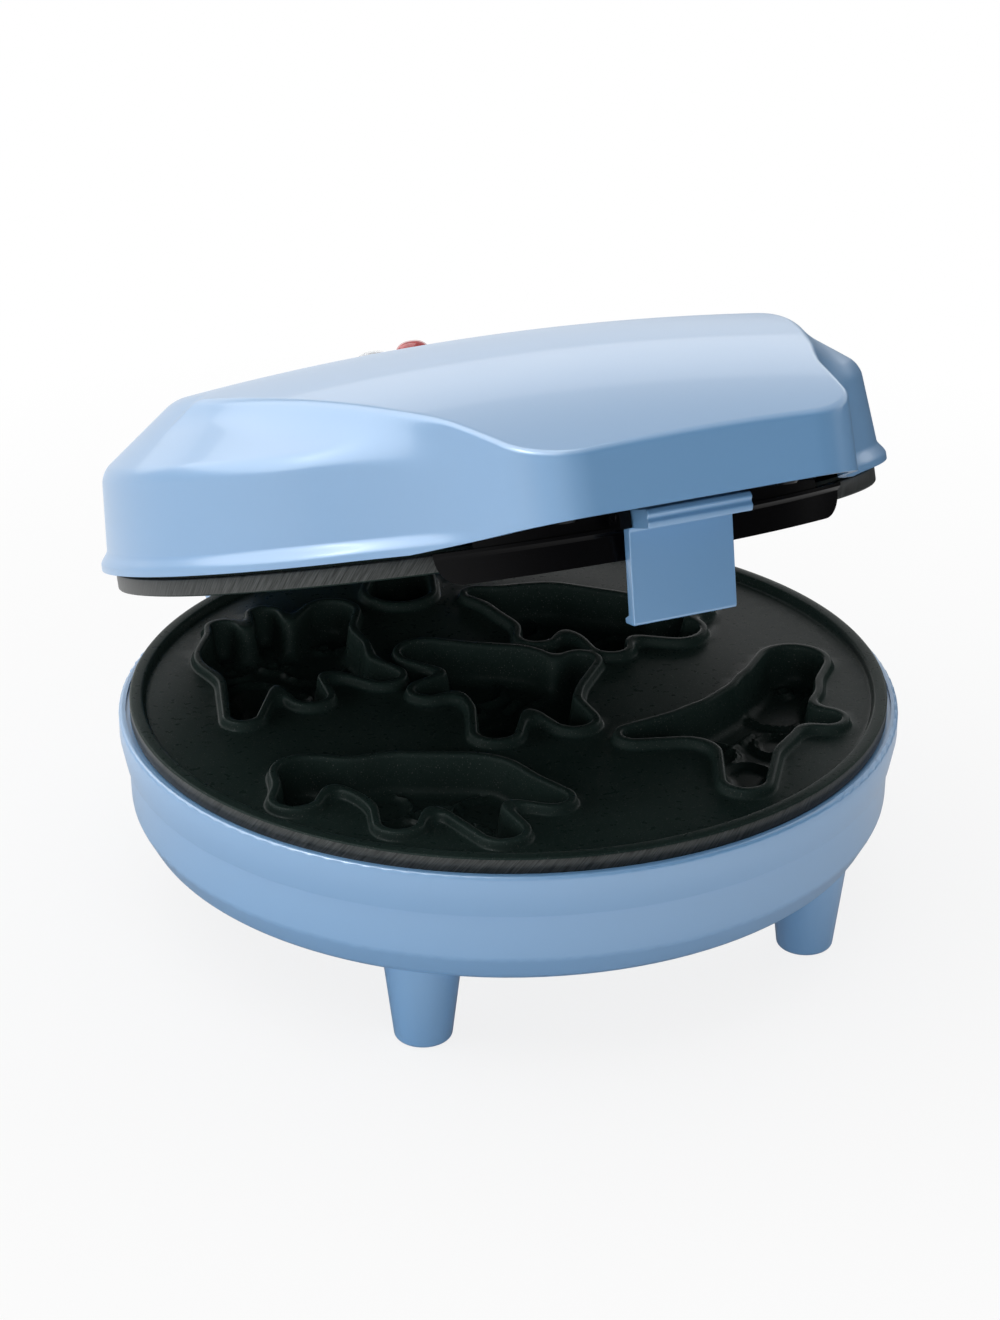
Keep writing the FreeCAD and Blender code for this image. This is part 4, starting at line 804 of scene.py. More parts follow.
@dataclass(frozen=True)
class LidShell:
    """Blue lid: round wall and facet with a straight nose, under a crowned top."""

    lip_low: float = 67.5
    lip_band: float = 1.3
    lip_radius: float = 107.1
    neck_radius: float = 105.0
    neck_height: float = 72.7
    shoulder_radius: float = 103.2
    shoulder_height: float = 93.3
    shoulder_round: float = 2.2
    facet_slope: float = 0.7366
    crown_top: float = 114.7
    crown_fore: float = 352.0
    crown_side: float = 720.0
    crown_limit: float = 0.9
    crown_round: float = 1.4
    nose_root: tuple[float, float] = (63.2, -54.0)
    nose_front: tuple[float, float] = (43.0, -132.6)
    nose_back: float = -20.0
    nose_corner: float = 13.0
    nose_blend: float = 16.0
    lift_start: float = -91.0
    lift: float = 5.2
    wall: float = 2.4
    knuckle_eye: float = 8.5
    knuckle_half: float = 33.7
    knuckle_edge: float = 1.0
    centre: Place = (0.0, -14.0, 60.0)
    around: int = 420
    trial_around: int = 2881
    up: int = 110
    trial_up: int = 420
    inner_up: int = 22
    inner_trial_up: int = 60
    ring_bend: float = 26.0
    line_bend: float = 9.0
    far: float = 190.0

    def depth(self, points: np.ndarray) -> np.ndarray:
        """Signed distance from the outside of the lid, negative inside.

        Args:
            points: Places, last axis x, y, z.

        Returns:
            One distance per place.
        """
        x, y, z = points[..., 0], points[..., 1], points[..., 2]
        radius = np.hypot(x, y)
        lean = (self.neck_radius - self.shoulder_radius) / (self.shoulder_height - self.neck_height)
        band = self.lip_low + self.lip_band
        rise = np.clip((z - band) / (self.neck_height - band), 0.0, 1.0)
        flare = (self.lip_radius - self.neck_radius) * (1.0 - rise * rise * (3.0 - 2.0 * rise))
        side = radius - self.neck_radius + np.maximum(z - self.neck_height, 0.0) * lean - flare
        facet = (z - self.shoulder_height) - (self.shoulder_radius - radius) * self.facet_slope
        body = round_meet(side, facet / math.hypot(1.0, self.facet_slope), self.shoulder_round)
        run = np.array(self.nose_front) - np.array(self.nose_root)
        run /= np.linalg.norm(run)
        flank = (np.abs(x) - self.nose_root[0]) * -run[1] + (y - self.nose_root[1]) * run[0]
        nose = round_meet(flank, self.nose_front[1] - y, self.nose_corner)
        nose = np.maximum(nose, y - self.nose_back)
        both = -round_meet(-body, -nose, self.nose_blend)
        return round_meet(both, z - self.crown_height(x, y), self.crown_round)

    def crown_height(self, x: np.ndarray, y: np.ndarray) -> np.ndarray:
        """Height of the crowned top.

        Args:
            x: Places sideways.
            y: Places front to back.

        Returns:
            One height per place.
        """
        furthest = self.crown_fore**2 * self.crown_limit
        fore = self.crown_fore - np.sqrt(self.crown_fore**2 - np.minimum(y * y, furthest))
        aside = self.crown_side - np.sqrt(self.crown_side**2 - x * x)
        return self.crown_top - fore - aside

    def edge_ring(self, angles: np.ndarray, offset: float) -> np.ndarray:
        """The lid's lower edge, which rises under the nose.

        Args:
            angles: Plan angles round the middle.
            offset: Distance from the outside, negative inside.

        Returns:
            One point per angle.
        """

        def edge(reach: np.ndarray) -> np.ndarray:
            """Places on the lower edge's level at some reach."""
            x = self.centre[0] + reach * np.cos(angles)
            y = self.centre[1] + reach * np.sin(angles)
            share = np.maximum((self.lift_start - y) / (self.lift_start - self.nose_front[1]), 0.0)
            return np.stack([x, y, self.lip_low + self.lift * share], axis=-1)

        return edge(leaving(lambda reach: self.depth(edge(reach)) > offset, angles.shape, self.far))

    def skin(self, angles: np.ndarray, count: int, offset: float, dense: int) -> np.ndarray:
        """Lines of points from the lower edge up to the top.

        Args:
            angles: Plan angles of the lines.
            count: Points on each line.
            offset: Distance from the outside, negative inside.
            dense: Points on each trial line.

        Returns:
            Points, shape (lines, count, 3).
        """
        edge = self.edge_ring(angles, offset) - self.centre
        low = np.arctan2(edge[:, 2], np.hypot(edge[:, 0], edge[:, 1]))[:, None]
        aside, fore = np.cos(angles)[:, None], np.sin(angles)[:, None]

        def lines(share: np.ndarray) -> np.ndarray:
            """Points on the form at shares of the way from edge to top."""
            tilt = low + (math.pi / 2.0 - low) * share
            heading = np.stack([np.cos(tilt) * aside, np.cos(tilt) * fore, np.sin(tilt)], axis=-1)

            def along(reach: np.ndarray) -> np.ndarray:
                """Places at some reach along the rays."""
                return np.array(self.centre) + heading * reach[..., None]

            return along(leaving(lambda reach: self.depth(along(reach)) > offset, tilt.shape, self.far))

        trial = np.broadcast_to(np.linspace(0.0, 1.0, dense), (len(angles), dense))
        return lines(spaced(lines(trial), count, self.line_bend) / (dense - 1))

    def build(self) -> None:
        """Make the lid with its hollow inside and its hinge knuckle."""
        trial = np.linspace(-math.pi, math.pi, self.trial_around)
        share = spaced(self.edge_ring(trial, 0.0)[None], self.around + 1, self.ring_bend)[0]
        angles = np.interp(share, np.arange(len(trial)), trial)[:-1]
        part = Part()
        points: list[np.ndarray] = []
        sheets: list[list[list[int]]] = []
        start = 0
        outer = self.skin(angles, self.up, 0.0, self.trial_up)
        inner = self.skin(angles, self.inner_up, -self.wall, self.inner_trial_up)
        for sheet in (outer, inner):
            rows = sheet.shape[1] - 1
            points += [sheet[:, :rows].transpose(1, 0, 2).reshape(-1, 3), sheet[:, rows].mean(axis=0)[None]]
            top = start + rows * self.around
            sheets.append([list(range(row, row + self.around)) for row in range(start, top, self.around)])
            sheets[-1].append([top] * self.around)
            start = top + 1
        faces = quads(sheets[0]) + [face[::-1] for face in quads(sheets[1])]
        part.add(np.vstack(points), faces + quads([sheets[1][0], sheets[0][0]]))
        outline = arc((HINGE.y, HINGE.z), self.knuckle_eye, -170.0, 190.0, 14)
        outline += [(121.0, 78.0), (116.5, 84.0), (103.0, 86.0), (100.0, 74.0), (107.4, 72.4), (110.6, 68.0)]
        prism(part, outline, self.knuckle_half, self.knuckle_edge)
        part.finish(Tag("lid_cover", "lid_shell", Body.LID, Slot.SHELL), sharp=60.0)


# Mould plates


@dataclass(frozen=True)
class Limb:
    """Tapered bar with round ends: one limb of a figure on the plate."""

    x: float
    y: float
    radius: float
    end_x: float
    end_y: float
    end_radius: float

    def distance(self, x: np.ndarray, y: np.ndarray) -> np.ndarray:
        """Signed distance from the limb's outline, negative inside.

        Args:
            x: Places sideways.
            y: Places front to back.

        Returns:
            One distance per place.
        """
        length = math.hypot(self.end_x - self.x, self.end_y - self.y)
        along_x, along_y = (self.end_x - self.x) / length, (self.end_y - self.y) / length
        along = (x - self.x) * along_x + (y - self.y) * along_y
        across = np.abs((x - self.x) * along_y - (y - self.y) * along_x)
        lean = (self.radius - self.end_radius) / length
        level = math.sqrt(1.0 - lean * lean)
        share = along * level - across * lean
        start = np.hypot(across, along) - self.radius
        end = np.hypot(across, along - length) - self.end_radius
        flank = across * level + along * lean - self.radius
        return np.where(share < 0.0, start, np.where(share > level * length, end, flank))


@dataclass(frozen=True)
class Figure:
    """One baked figure: limbs that flow together, an eye, and lines in its face and on its back."""

    limbs: tuple[Limb, ...]
    eye: Optional[tuple[float, float]] = None
    lines: tuple[tuple[float, float, float, float], ...] = ()
    flow: float = 5.0
    seam_height: float = 1.5
    seam_width: float = 0.95
    seam_start: float = -1.0
    seam_fade: float = 2.0
    line_height: float = 1.3
    line_width: float = 0.7
    line_ends: Span = (0.5, 0.4)
    eye_radius: float = 2.1
    eye_width: float = 0.65

    def distance(self, x: np.ndarray, y: np.ndarray) -> np.ndarray:
        """Signed distance from the figure's outline, with its limbs flowing together.

        Args:
            x: Places sideways.
            y: Places front to back.

        Returns:
            One distance per place.
        """
        result = self.limbs[0].distance(x, y)
        for limb in self.limbs[1:]:
            other = limb.distance(x, y)
            share = np.maximum(self.flow - np.abs(result - other), 0.0) / self.flow
            result = np.minimum(result, other) - share * share * self.flow / 4.0
        return result

    def relief(self, x: np.ndarray, y: np.ndarray) -> np.ndarray:
        """Height of the fine relief on the cavity floor.

        Args:
            x: Places sideways.
            y: Places front to back.

        Returns:
            Heights over the plain floor.
        """
        height = np.zeros_like(x)
        trunk = self.limbs[0].distance(x, y)
        within = np.clip((self.seam_start - trunk) / self.seam_fade, 0.0, 1.0)
        for limb in self.limbs[1:]:
            seam = np.exp(-((limb.distance(x, y) / self.seam_width) ** 2)) * within
            height = np.maximum(height, self.seam_height * seam)
        for start_x, start_y, end_x, end_y in self.lines:
            line = Limb(start_x, start_y, self.line_ends[0], end_x, end_y, self.line_ends[1])
            apart = np.maximum(line.distance(x, y), 0.0)
            height = np.maximum(height, self.line_height * np.exp(-((apart / self.line_width) ** 2)))
        if self.eye:
            apart = np.hypot(x - self.eye[0], y - self.eye[1]) - self.eye_radius
            height = np.maximum(height, self.line_height * np.exp(-((apart / self.eye_width) ** 2)))
        return height


FIGURES = (
    Figure(
        (
            Limb(-57, 46, 15, -42, 42, 15),
            Limb(-60, 40, 8, -74, 10, 3.5),
            Limb(-38, 50, 9, -27, 64, 6.5),
            Limb(-52, 32, 6, -53, 14, 4.5),
            Limb(-37, 32, 6, -30, 18, 4.5),
            Limb(-60, 57, 5, -59, 66, 3.5),
            Limb(-47, 57, 5, -45, 70, 3.5),
        ),
        (-31.0, 61.0),
        ((-24.0, 60.0, -27.5, 58.5), (-60.0, 58.0, -59.3, 64.0), (-47.0, 58.0, -45.4, 67.0)),
    ),
    Figure(
        (
            Limb(-50, -42, 13, -36, -50, 14),
            Limb(-54, -38, 8, -72, -27, 5.5),
            Limb(-70, -28, 5.8, -79, -41, 5),
            Limb(-30, -52, 9, -19, -68, 4),
            Limb(-40, -61, 6.5, -38, -79, 5),
            Limb(-54, -52, 6.5, -60, -64, 4.5),
        ),
        (-75.0, -34.0),
        ((-80.5, -42.0, -77.0, -43.0), (-46.0, -44.0, -40.0, -42.5), (-40.0, -42.5, -35.0, -45.5)),
    ),
    Figure(
        (
            Limb(0, -2, 14, 3, 8, 13),
            Limb(-4, 17, 9, -13, 27, 7),
            Limb(9, -6, 8, 24, 4, 4),
            Limb(-8, -12, 6.5, -16, -27, 5),
            Limb(5, -14, 6.5, 6, -29, 5),
            Limb(-11, 6, 5, -22, 4, 4),
        ),
        (-10.5, 26.0),
        ((-18.0, 25.0, -14.5, 23.0), (2.0, -3.0, 7.0, 1.0), (1.0, 3.0, 6.0, 7.0)),
    ),
    Figure(
        (
            Limb(64, -36, 10, 46, -50, 14),
            Limb(68, -31, 9, 78, -21, 8.5),
            Limb(38, -46, 8, 17, -44, 3.5),
            Limb(42, -61, 7, 31, -80, 5),
            Limb(58, -48, 6, 68, -57, 4),
        ),
        (76.0, -19.5),
        ((80.0, -26.0, 83.5, -22.5), (50.0, -43.0, 55.0, -40.0), (44.0, -46.0, 48.0, -44.0)),
    ),
    Figure(
        (
            Limb(32, 42, 14, 44, 30, 14),
            Limb(48, 23, 10, 58, 12, 7),
            Limb(25, 50, 7, 17, 58, 3),
            Limb(26, 32, 6, 20, 24, 4.5),
            Limb(38, 20, 6, 36, 9, 4.5),
            Limb(56, 24, 4.5, 70, 22, 3),
        ),
        (54.0, 16.5),
        ((60.0, 9.0, 57.0, 8.0), (36.0, 38.0, 41.0, 37.0), (59.0, 23.5, 67.0, 22.5)),
    ),
    Figure(
        (Limb(-3, 70, 9, 1, 78, 8),),
        None,
        (
            (-9.0, 72.0, -5.5, 75.5),
            (-5.5, 75.5, -2.5, 72.5),
            (-2.5, 72.5, 0.5, 76.0),
            (0.5, 76.0, 3.5, 73.0),
            (3.5, 73.0, 6.5, 76.0),
        ),
    ),
)


def figures_distance(x: np.ndarray, y: np.ndarray) -> np.ndarray:
    """Signed distance from the nearest figure's outline.

    Args:
        x: Places sideways.
        y: Places front to back.

    Returns:
        One distance per place.
    """
    return np.min([figure.distance(x, y) for figure in FIGURES], axis=0)


def contour_loops(values: np.ndarray, axis: np.ndarray, level: float) -> list[np.ndarray]:
    """Closed lines of one level in a square field.

    Args:
        values: Values on the grid, first index along X.
        axis: Grid places, the same along X and Y.
        level: Level of the lines.

    Returns:
        Loops of x, y rows.
    """
    above = values > level
    cross_x = above[:-1, :] != above[1:, :]
    cross_y = above[:, :-1] != above[:, 1:]
    busy = cross_x[:, :-1] | cross_x[:, 1:] | cross_y[:-1, :] | cross_y[1:, :]
    links: dict[tuple[int, int, int], list[tuple[int, int, int]]] = {}
    for i, j in zip(*(index.tolist() for index in np.nonzero(busy))):
        around = (
            (cross_x[i, j], (0, i, j)),
            (cross_y[i + 1, j], (1, i + 1, j)),
            (cross_x[i, j + 1], (0, i, j + 1)),
            (cross_y[i, j], (1, i, j)),
        )
        ends = [key for crossed, key in around if crossed]
        for first, second in zip(ends[::2], ends[1::2]):
            links.setdefault(first, []).append(second)
            links.setdefault(second, []).append(first)

    def place(key: tuple[int, int, int]) -> tuple[float, float]:
        """Point at which the level crosses a grid edge."""
        along_y, i, j = key
        end = (i, j + 1) if along_y else (i + 1, j)
        share = (level - values[i, j]) / (values[end] - values[i, j])
        return (axis[i] + (axis[end[0]] - axis[i]) * share, axis[j] + (axis[end[1]] - axis[j]) * share)

    loops = []
    while links:
        start = next(iter(links))
        loop, before, here = [start], start, links[start][0]
        while here != start:
            loop.append(here)
            near = links[here]
            before, here = here, near[0] if near[0] != before else near[1]
        for key in loop:
            links.pop(key)
        loops.append(np.array([place(key) for key in loop]))
    return loops


@dataclass(frozen=True)
class PlateSkin:
    """Face or back of a mould plate: depths at levels of the distance from the figures' outlines."""

    levels: tuple[tuple[float, float], ...]
    reach: float
    flat_step: float
    floor_step: float
    spacing: float
    margin: float = 0.7
    around: int = 360
    field_reach: float = 96.0
    field_step: float = 0.6
    fewest: int = 8
    row_ratio: float = 0.866
    edge_gap: float = 0.6
    probe: float = 0.01
    flattest: float = 0.2
    rounds: int = 3
    nearness: float = 1e-5

    def snap(self, points: np.ndarray, level: float) -> np.ndarray:
        """Move points onto one level of the figures' distance.

        Args:
            points: Rows of x, y.
            level: Distance from the outlines.

        Returns:
            The moved rows.
        """
        step = self.probe
        for _ in range(self.rounds):
            x, y = points.T
            slope_x = figures_distance(x + step, y) - figures_distance(x - step, y)
            slope_y = figures_distance(x, y + step) - figures_distance(x, y - step)
            slope = np.stack([slope_x, slope_y], axis=1) / (2.0 * step)
            steepness = np.maximum(np.sum(slope * slope, axis=1), self.flattest)
            points = points - slope * ((figures_distance(x, y) - level) / steepness)[:, None]
        return points

    def outlines(self) -> list[np.ndarray]:
        """Evenly spaced loops along every level.

        Returns:
            Loops of x, y rows.
        """
        axis = np.arange(-self.field_reach, self.field_reach, self.field_step)
        values = figures_distance(*np.meshgrid(axis, axis, indexing="ij"))
        loops = []
        for level, _ in self.levels:
            for raw in contour_loops(values, axis, level):
                closed = np.vstack([raw, raw[:1]])
                steps = np.linalg.norm(np.diff(closed, axis=0), axis=1)
                length = np.concatenate([[0.0], np.cumsum(steps)])
                count = round(length[-1] / self.spacing)
                if count < self.fewest:
                    continue
                wanted = np.arange(count) * length[-1] / count
                even = np.stack([np.interp(wanted, length, closed[:, k]) for k in (0, 1)], axis=1)
                loops.append(self.snap(even, level))
        return loops

    def grid(self, step: float) -> tuple[np.ndarray, np.ndarray]:
        """Staggered grid over the plate and its distance from the figures.

        Args:
            step: Distance between neighbours.

        Returns:
            Rows of x, y and one distance each.
        """
        rows = []
        for index, y in enumerate(np.arange(-self.reach, self.reach, step * self.row_ratio)):
            x = np.arange(-self.reach, self.reach, step) + (step / 2.0 if index % 2 else 0.0)
            rows.append(np.column_stack([x, np.full(len(x), y)]))
        points = np.vstack(rows)
        points = points[np.hypot(*points.T) < self.reach - step * self.edge_gap]
        return points, figures_distance(*points.T)

    def build(self) -> Skin:
        """Make the skin.

        Returns:
            Rows of x, y, the depth of each under the parting face, and triangles that face up.
        """
        turn = np.arange(self.around) * TURN / self.around
        loops = self.outlines() + [np.column_stack([np.cos(turn), np.sin(turn)]) * self.reach]
        edges: list[tuple[int, int]] = []
        for loop in loops:
            start, size = len(edges), len(loop)
            edges += [(start + i, start + (i + 1) % size) for i in range(size)]
        flat, flat_distance = self.grid(self.flat_step)
        floor, floor_distance = self.grid(self.floor_step)
        loops.append(flat[flat_distance > self.levels[0][0] + self.margin])
        loops.append(floor[floor_distance < self.levels[-1][0] - self.margin])
        given = [Vector(row) for row in np.vstack(loops).tolist()]
        found = delaunay_2d_cdt(given, edges, [], 0, self.nearness, False)
        places = np.array([tuple(place) for place in found[0]])
        steps, depths = zip(*reversed(self.levels))
        depth = np.interp(figures_distance(*places.T), steps, depths)
        return places, depth, [tuple(face) for face in found[2]]


RELIEF_EDGE = -1.3
RELIEF_FADE = 1.2


def cavity_relief(places: np.ndarray) -> np.ndarray:
    """Relief that the figures' floors carry, fading out towards their walls.

    Args:
        places: Rows of x, y.

    Returns:
        Height over the plain floor at each place.
    """
    x, y = places.T
    distances = np.array([figure.distance(x, y) for figure in FIGURES])
    nearest = np.argmin(distances, axis=0)
    relief = np.zeros(len(places))
    for index, figure in enumerate(FIGURES):
        mine = nearest == index
        relief[mine] = figure.relief(x[mine], y[mine])
    return relief * np.clip((RELIEF_EDGE - distances.min(axis=0)) / RELIEF_FADE, 0.0, 1.0)


FACE_SKIN = PlateSkin(
    (
        (3.5, 2.5),
        (3.1, 2.38),
        (2.75, 1.85),
        (2.5, 0.95),
        (2.25, 0.28),
        (1.9, 0.04),
        (1.45, 0.0),
        (0.75, 0.0),
        (0.38, 0.08),
        (0.1, 0.42),
        (-0.1, 1.2),
        (-0.65, 6.4),
        (-1.0, 8.7),
        (-1.4, 10.0),
        (-2.2, 10.9),
        (-3.6, 11.5),
    ),
    reach=98.6,
    flat_step=4.0,
    floor_step=0.95,
    spacing=1.0,
)
BACK_SKIN = PlateSkin(
    ((3.3, 5.5), (2.7, 6.0), (2.4, 7.0), (1.5, 13.6), (1.1, 14.4), (0.5, 14.6)),
    reach=101.4,
    flat_step=6.0,
    floor_step=6.0,
    spacing=1.6,
    margin=2.0,
)


def plate_skins() -> tuple[Skin, Skin]:
    """Work out the face and the back that both mould plates share.

    Returns:
        Face and back.
    """
    places, depth, faces = FACE_SKIN.build()
    return (places, depth - cavity_relief(places), faces), BACK_SKIN.build()


SCREW_CIRCLE = 91.0
SCREW_START = 40.0
PLATE_SHARP = 55.0


def screw_places() -> Profile:
    """Places of the three screws that hold a plate.

    Returns:
        Points in plan.
    """
    return arc((0.0, 0.0), SCREW_CIRCLE, SCREW_START, 240.0, 2)


@dataclass(frozen=True)
class MouldPlate:
    """Cast plate with figure cavities, a raised edge and turned marks on its rim."""

    tag: Tag
    radius: float
    parting: float
    side: int
    boss_end: float
    boss_depth: float = 4.0
    boss_radius: float = 4.5
    boss_segments: int = 40
    pilot_radius: float = 1.8
    pilot_length: float = 14.0

    def heights(self, depth: np.ndarray | float) -> np.ndarray:
        """Heights of depths under the parting face.

        Args:
            depth: The depths.

        Returns:
            The heights.
        """
        return self.parting + self.side * np.asarray(depth)

    def rim(self, part: Part) -> None:
        """Add the raised edge between face and back.

        Args:
            part: Mesh of the plate.
        """
        edge = self.radius
        shoulder = [(FACE_SKIN.reach, 2.5), (edge - 4.6, 2.46), (edge - 4.25, 2.2), (edge - 4.0, 1.6)]
        shoulder += [(edge - 3.75, 0.7), (edge - 3.45, 0.15), (edge - 3.0, 0.0), (edge - 0.75, 0.0)]
        shoulder += [(edge - 0.3, 0.1), (edge - 0.06, 0.4)]
        wall = [(edge - 0.06, 0.4), (edge, 0.7), (edge, 4.2), (edge - 0.2, 4.55), (edge - 0.5, 4.6)]
        under = [(edge - 0.5, 4.6), (edge - 2.1, 4.6), (edge - 2.2, 5.5), (BACK_SKIN.reach, 5.5)]
        for profile, tone in ((shoulder, 0), (wall, 1), (under, 0)):
            self.band(part, profile, tone)

    def band(self, part: Part, profile: Profile, tone: int) -> None:
        """Turn one part of the rim, with a map that unrolls it.

        Args:
            part: Mesh of the plate.
            profile: Radius and depth along the rim.
            tone: Number of the finish.
        """
        turn = np.arange(FACE_SKIN.around + 1) * TURN / FACE_SKIN.around
        size = len(turn)
        points, maps = [], []
        for radius, depth in profile:
            high = np.full(size, float(self.heights(depth)))
            points.append(np.column_stack([radius * np.cos(turn), radius * np.sin(turn), high]))
            maps.append(np.column_stack([turn * self.radius * MM, high * MM]))
        rows = [range(row * size, (row + 1) * size) for row in range(len(profile))]
        part.add(np.vstack(points), quads(rows, closed=False), tone, np.vstack(maps))

    def bosses(self, part: Part) -> None:
        """Add the screw bosses behind the plate.

        Args:
            part: Mesh of the plate.
        """
        start, end = float(self.heights(self.boss_depth)), self.boss_end
        bottom = end - self.pilot_length * self.side
        profile = [
            (0.0, start),
            (self.boss_radius + 0.4, start),
            (self.boss_radius, end - 0.5 * self.side),
            (self.boss_radius - 0.4, end),
            (self.pilot_radius + 0.3, end),
            (self.pilot_radius, end - 0.3 * self.side),
            (self.pilot_radius, bottom),
            (0.0, bottom),
        ]
        for centre in screw_places():
            part.lathe(profile, centre, self.boss_segments)

    def build(self, skins: tuple[Skin, Skin]) -> None:
        """Make the plate.

        Args:
            skins: Its face and its back.
        """
        part = Part()
        for places, depth, faces in skins:
            part.add(np.column_stack([places, self.heights(depth)]), faces)
        self.rim(part)
        self.bosses(part)
        part.finish(self.tag, PLATE_SHARP, Extra.EDGE)


PLATES = (
    MouldPlate(Tag("lower_mould", "lower_plate", Body.BASE, Slot.COAT), 104.0, 61.1, -1, 35.0),
    MouldPlate(Tag("upper_mould", "upper_plate", Body.LID, Slot.COAT), 103.5, 61.7, 1, 88.0),
)


# Latch and lamps


@dataclass(frozen=True)
class Latch:
    """Snap latch: flat plate with a hook below and a beaded finger grip."""

    half_width: float = 14.0
    pivot: tuple[float, float] = (-114.4, 70.4)
    barrel: float = 3.2
    end_round: float = 0.3

    def build(self) -> None:
        """Make the latch from its side view, turning left from the tip of its hook."""
        hook = [(-105.5, 43.4, 0.35), (-105.5, 44.7, 0.35), (-107.7, 45.4, 0.7), (-111.7, 66.9, 0.6)]
        barrel = [(y, z, 0.0) for y, z in arc(self.pivot, self.barrel, -38.0, 190.0, 12)]
        grip = [
            (-117.2, 71.5, 0.5),
            (-125.6, 71.5, 0.9),
            (-126.4, 70.25, 0.6),
            (-125.55, 69.2, 0.55),
            (-126.2, 68.2, 0.6),
            (-125.5, 66.75, 0.8),
            (-114.75, 66.7, 1.6),
            (-110.3, 42.7, 0.9),
        ]
        part = Part()
        prism(part, rounded(hook + barrel + grip), self.half_width, self.end_round)
        part.finish(Tag("snap_latch", "latch_clip", Body.LATCH, Slot.SHELL), sharp=50.0)


@dataclass(frozen=True)
class SignalLamp:
    """Domed lens in the lid, hollow for its bulb."""

    tag: Tag
    across: float
    height: float
    behind: float = 58.0
    seat: float = 108.8
    radius: float = 5.0
    stem_radius: float = 3.8
    stem_length: float = 9.0
    wall: float = 0.9
    edge: float = 0.15
    straight: float = 0.42
    fullness: float = 0.8
    dome_steps: int = 12
    segments: int = 64

    def build(self) -> None:
        """Make the lens from its closed section."""
        hollow = self.stem_radius - self.wall
        straight = self.straight * self.height
        foot = (hollow, -self.stem_length)
        section = [foot, (self.stem_radius, -self.stem_length), (self.stem_radius, 0.0)]
        section += [(self.radius - self.edge, 0.0), (self.radius, self.edge)]
        for step in range(self.dome_steps + 1):
            turn = math.pi / 2.0 * step / self.dome_steps
            spread = self.radius * math.cos(turn) ** self.fullness if step < self.dome_steps else 0.0
            section.append((spread, straight + (self.height - straight) * math.sin(turn)))
        section += [(0.0, self.height - 2.0 * self.wall), (hollow, self.height - 3.0 * self.wall), foot]
        part = Part()
        part.lathe([(r, self.seat + z) for r, z in section], (self.across, self.behind), self.segments)
        part.finish(self.tag, sharp=35.0)


LAMPS = (
    SignalLamp(Tag("red_lamp", "power_lamp_lens", Body.LID, Slot.RED), 6.2, 6.6),
    SignalLamp(Tag("clear_lamp", "ready_lamp_lens", Body.LID, Slot.CLEAR), -6.2, 5.2),
)


# Repeated pieces


UPRIGHT: Place = (0.0, 0.0, 0.0)
HANGING: Place = (math.pi, 0.0, 0.0)


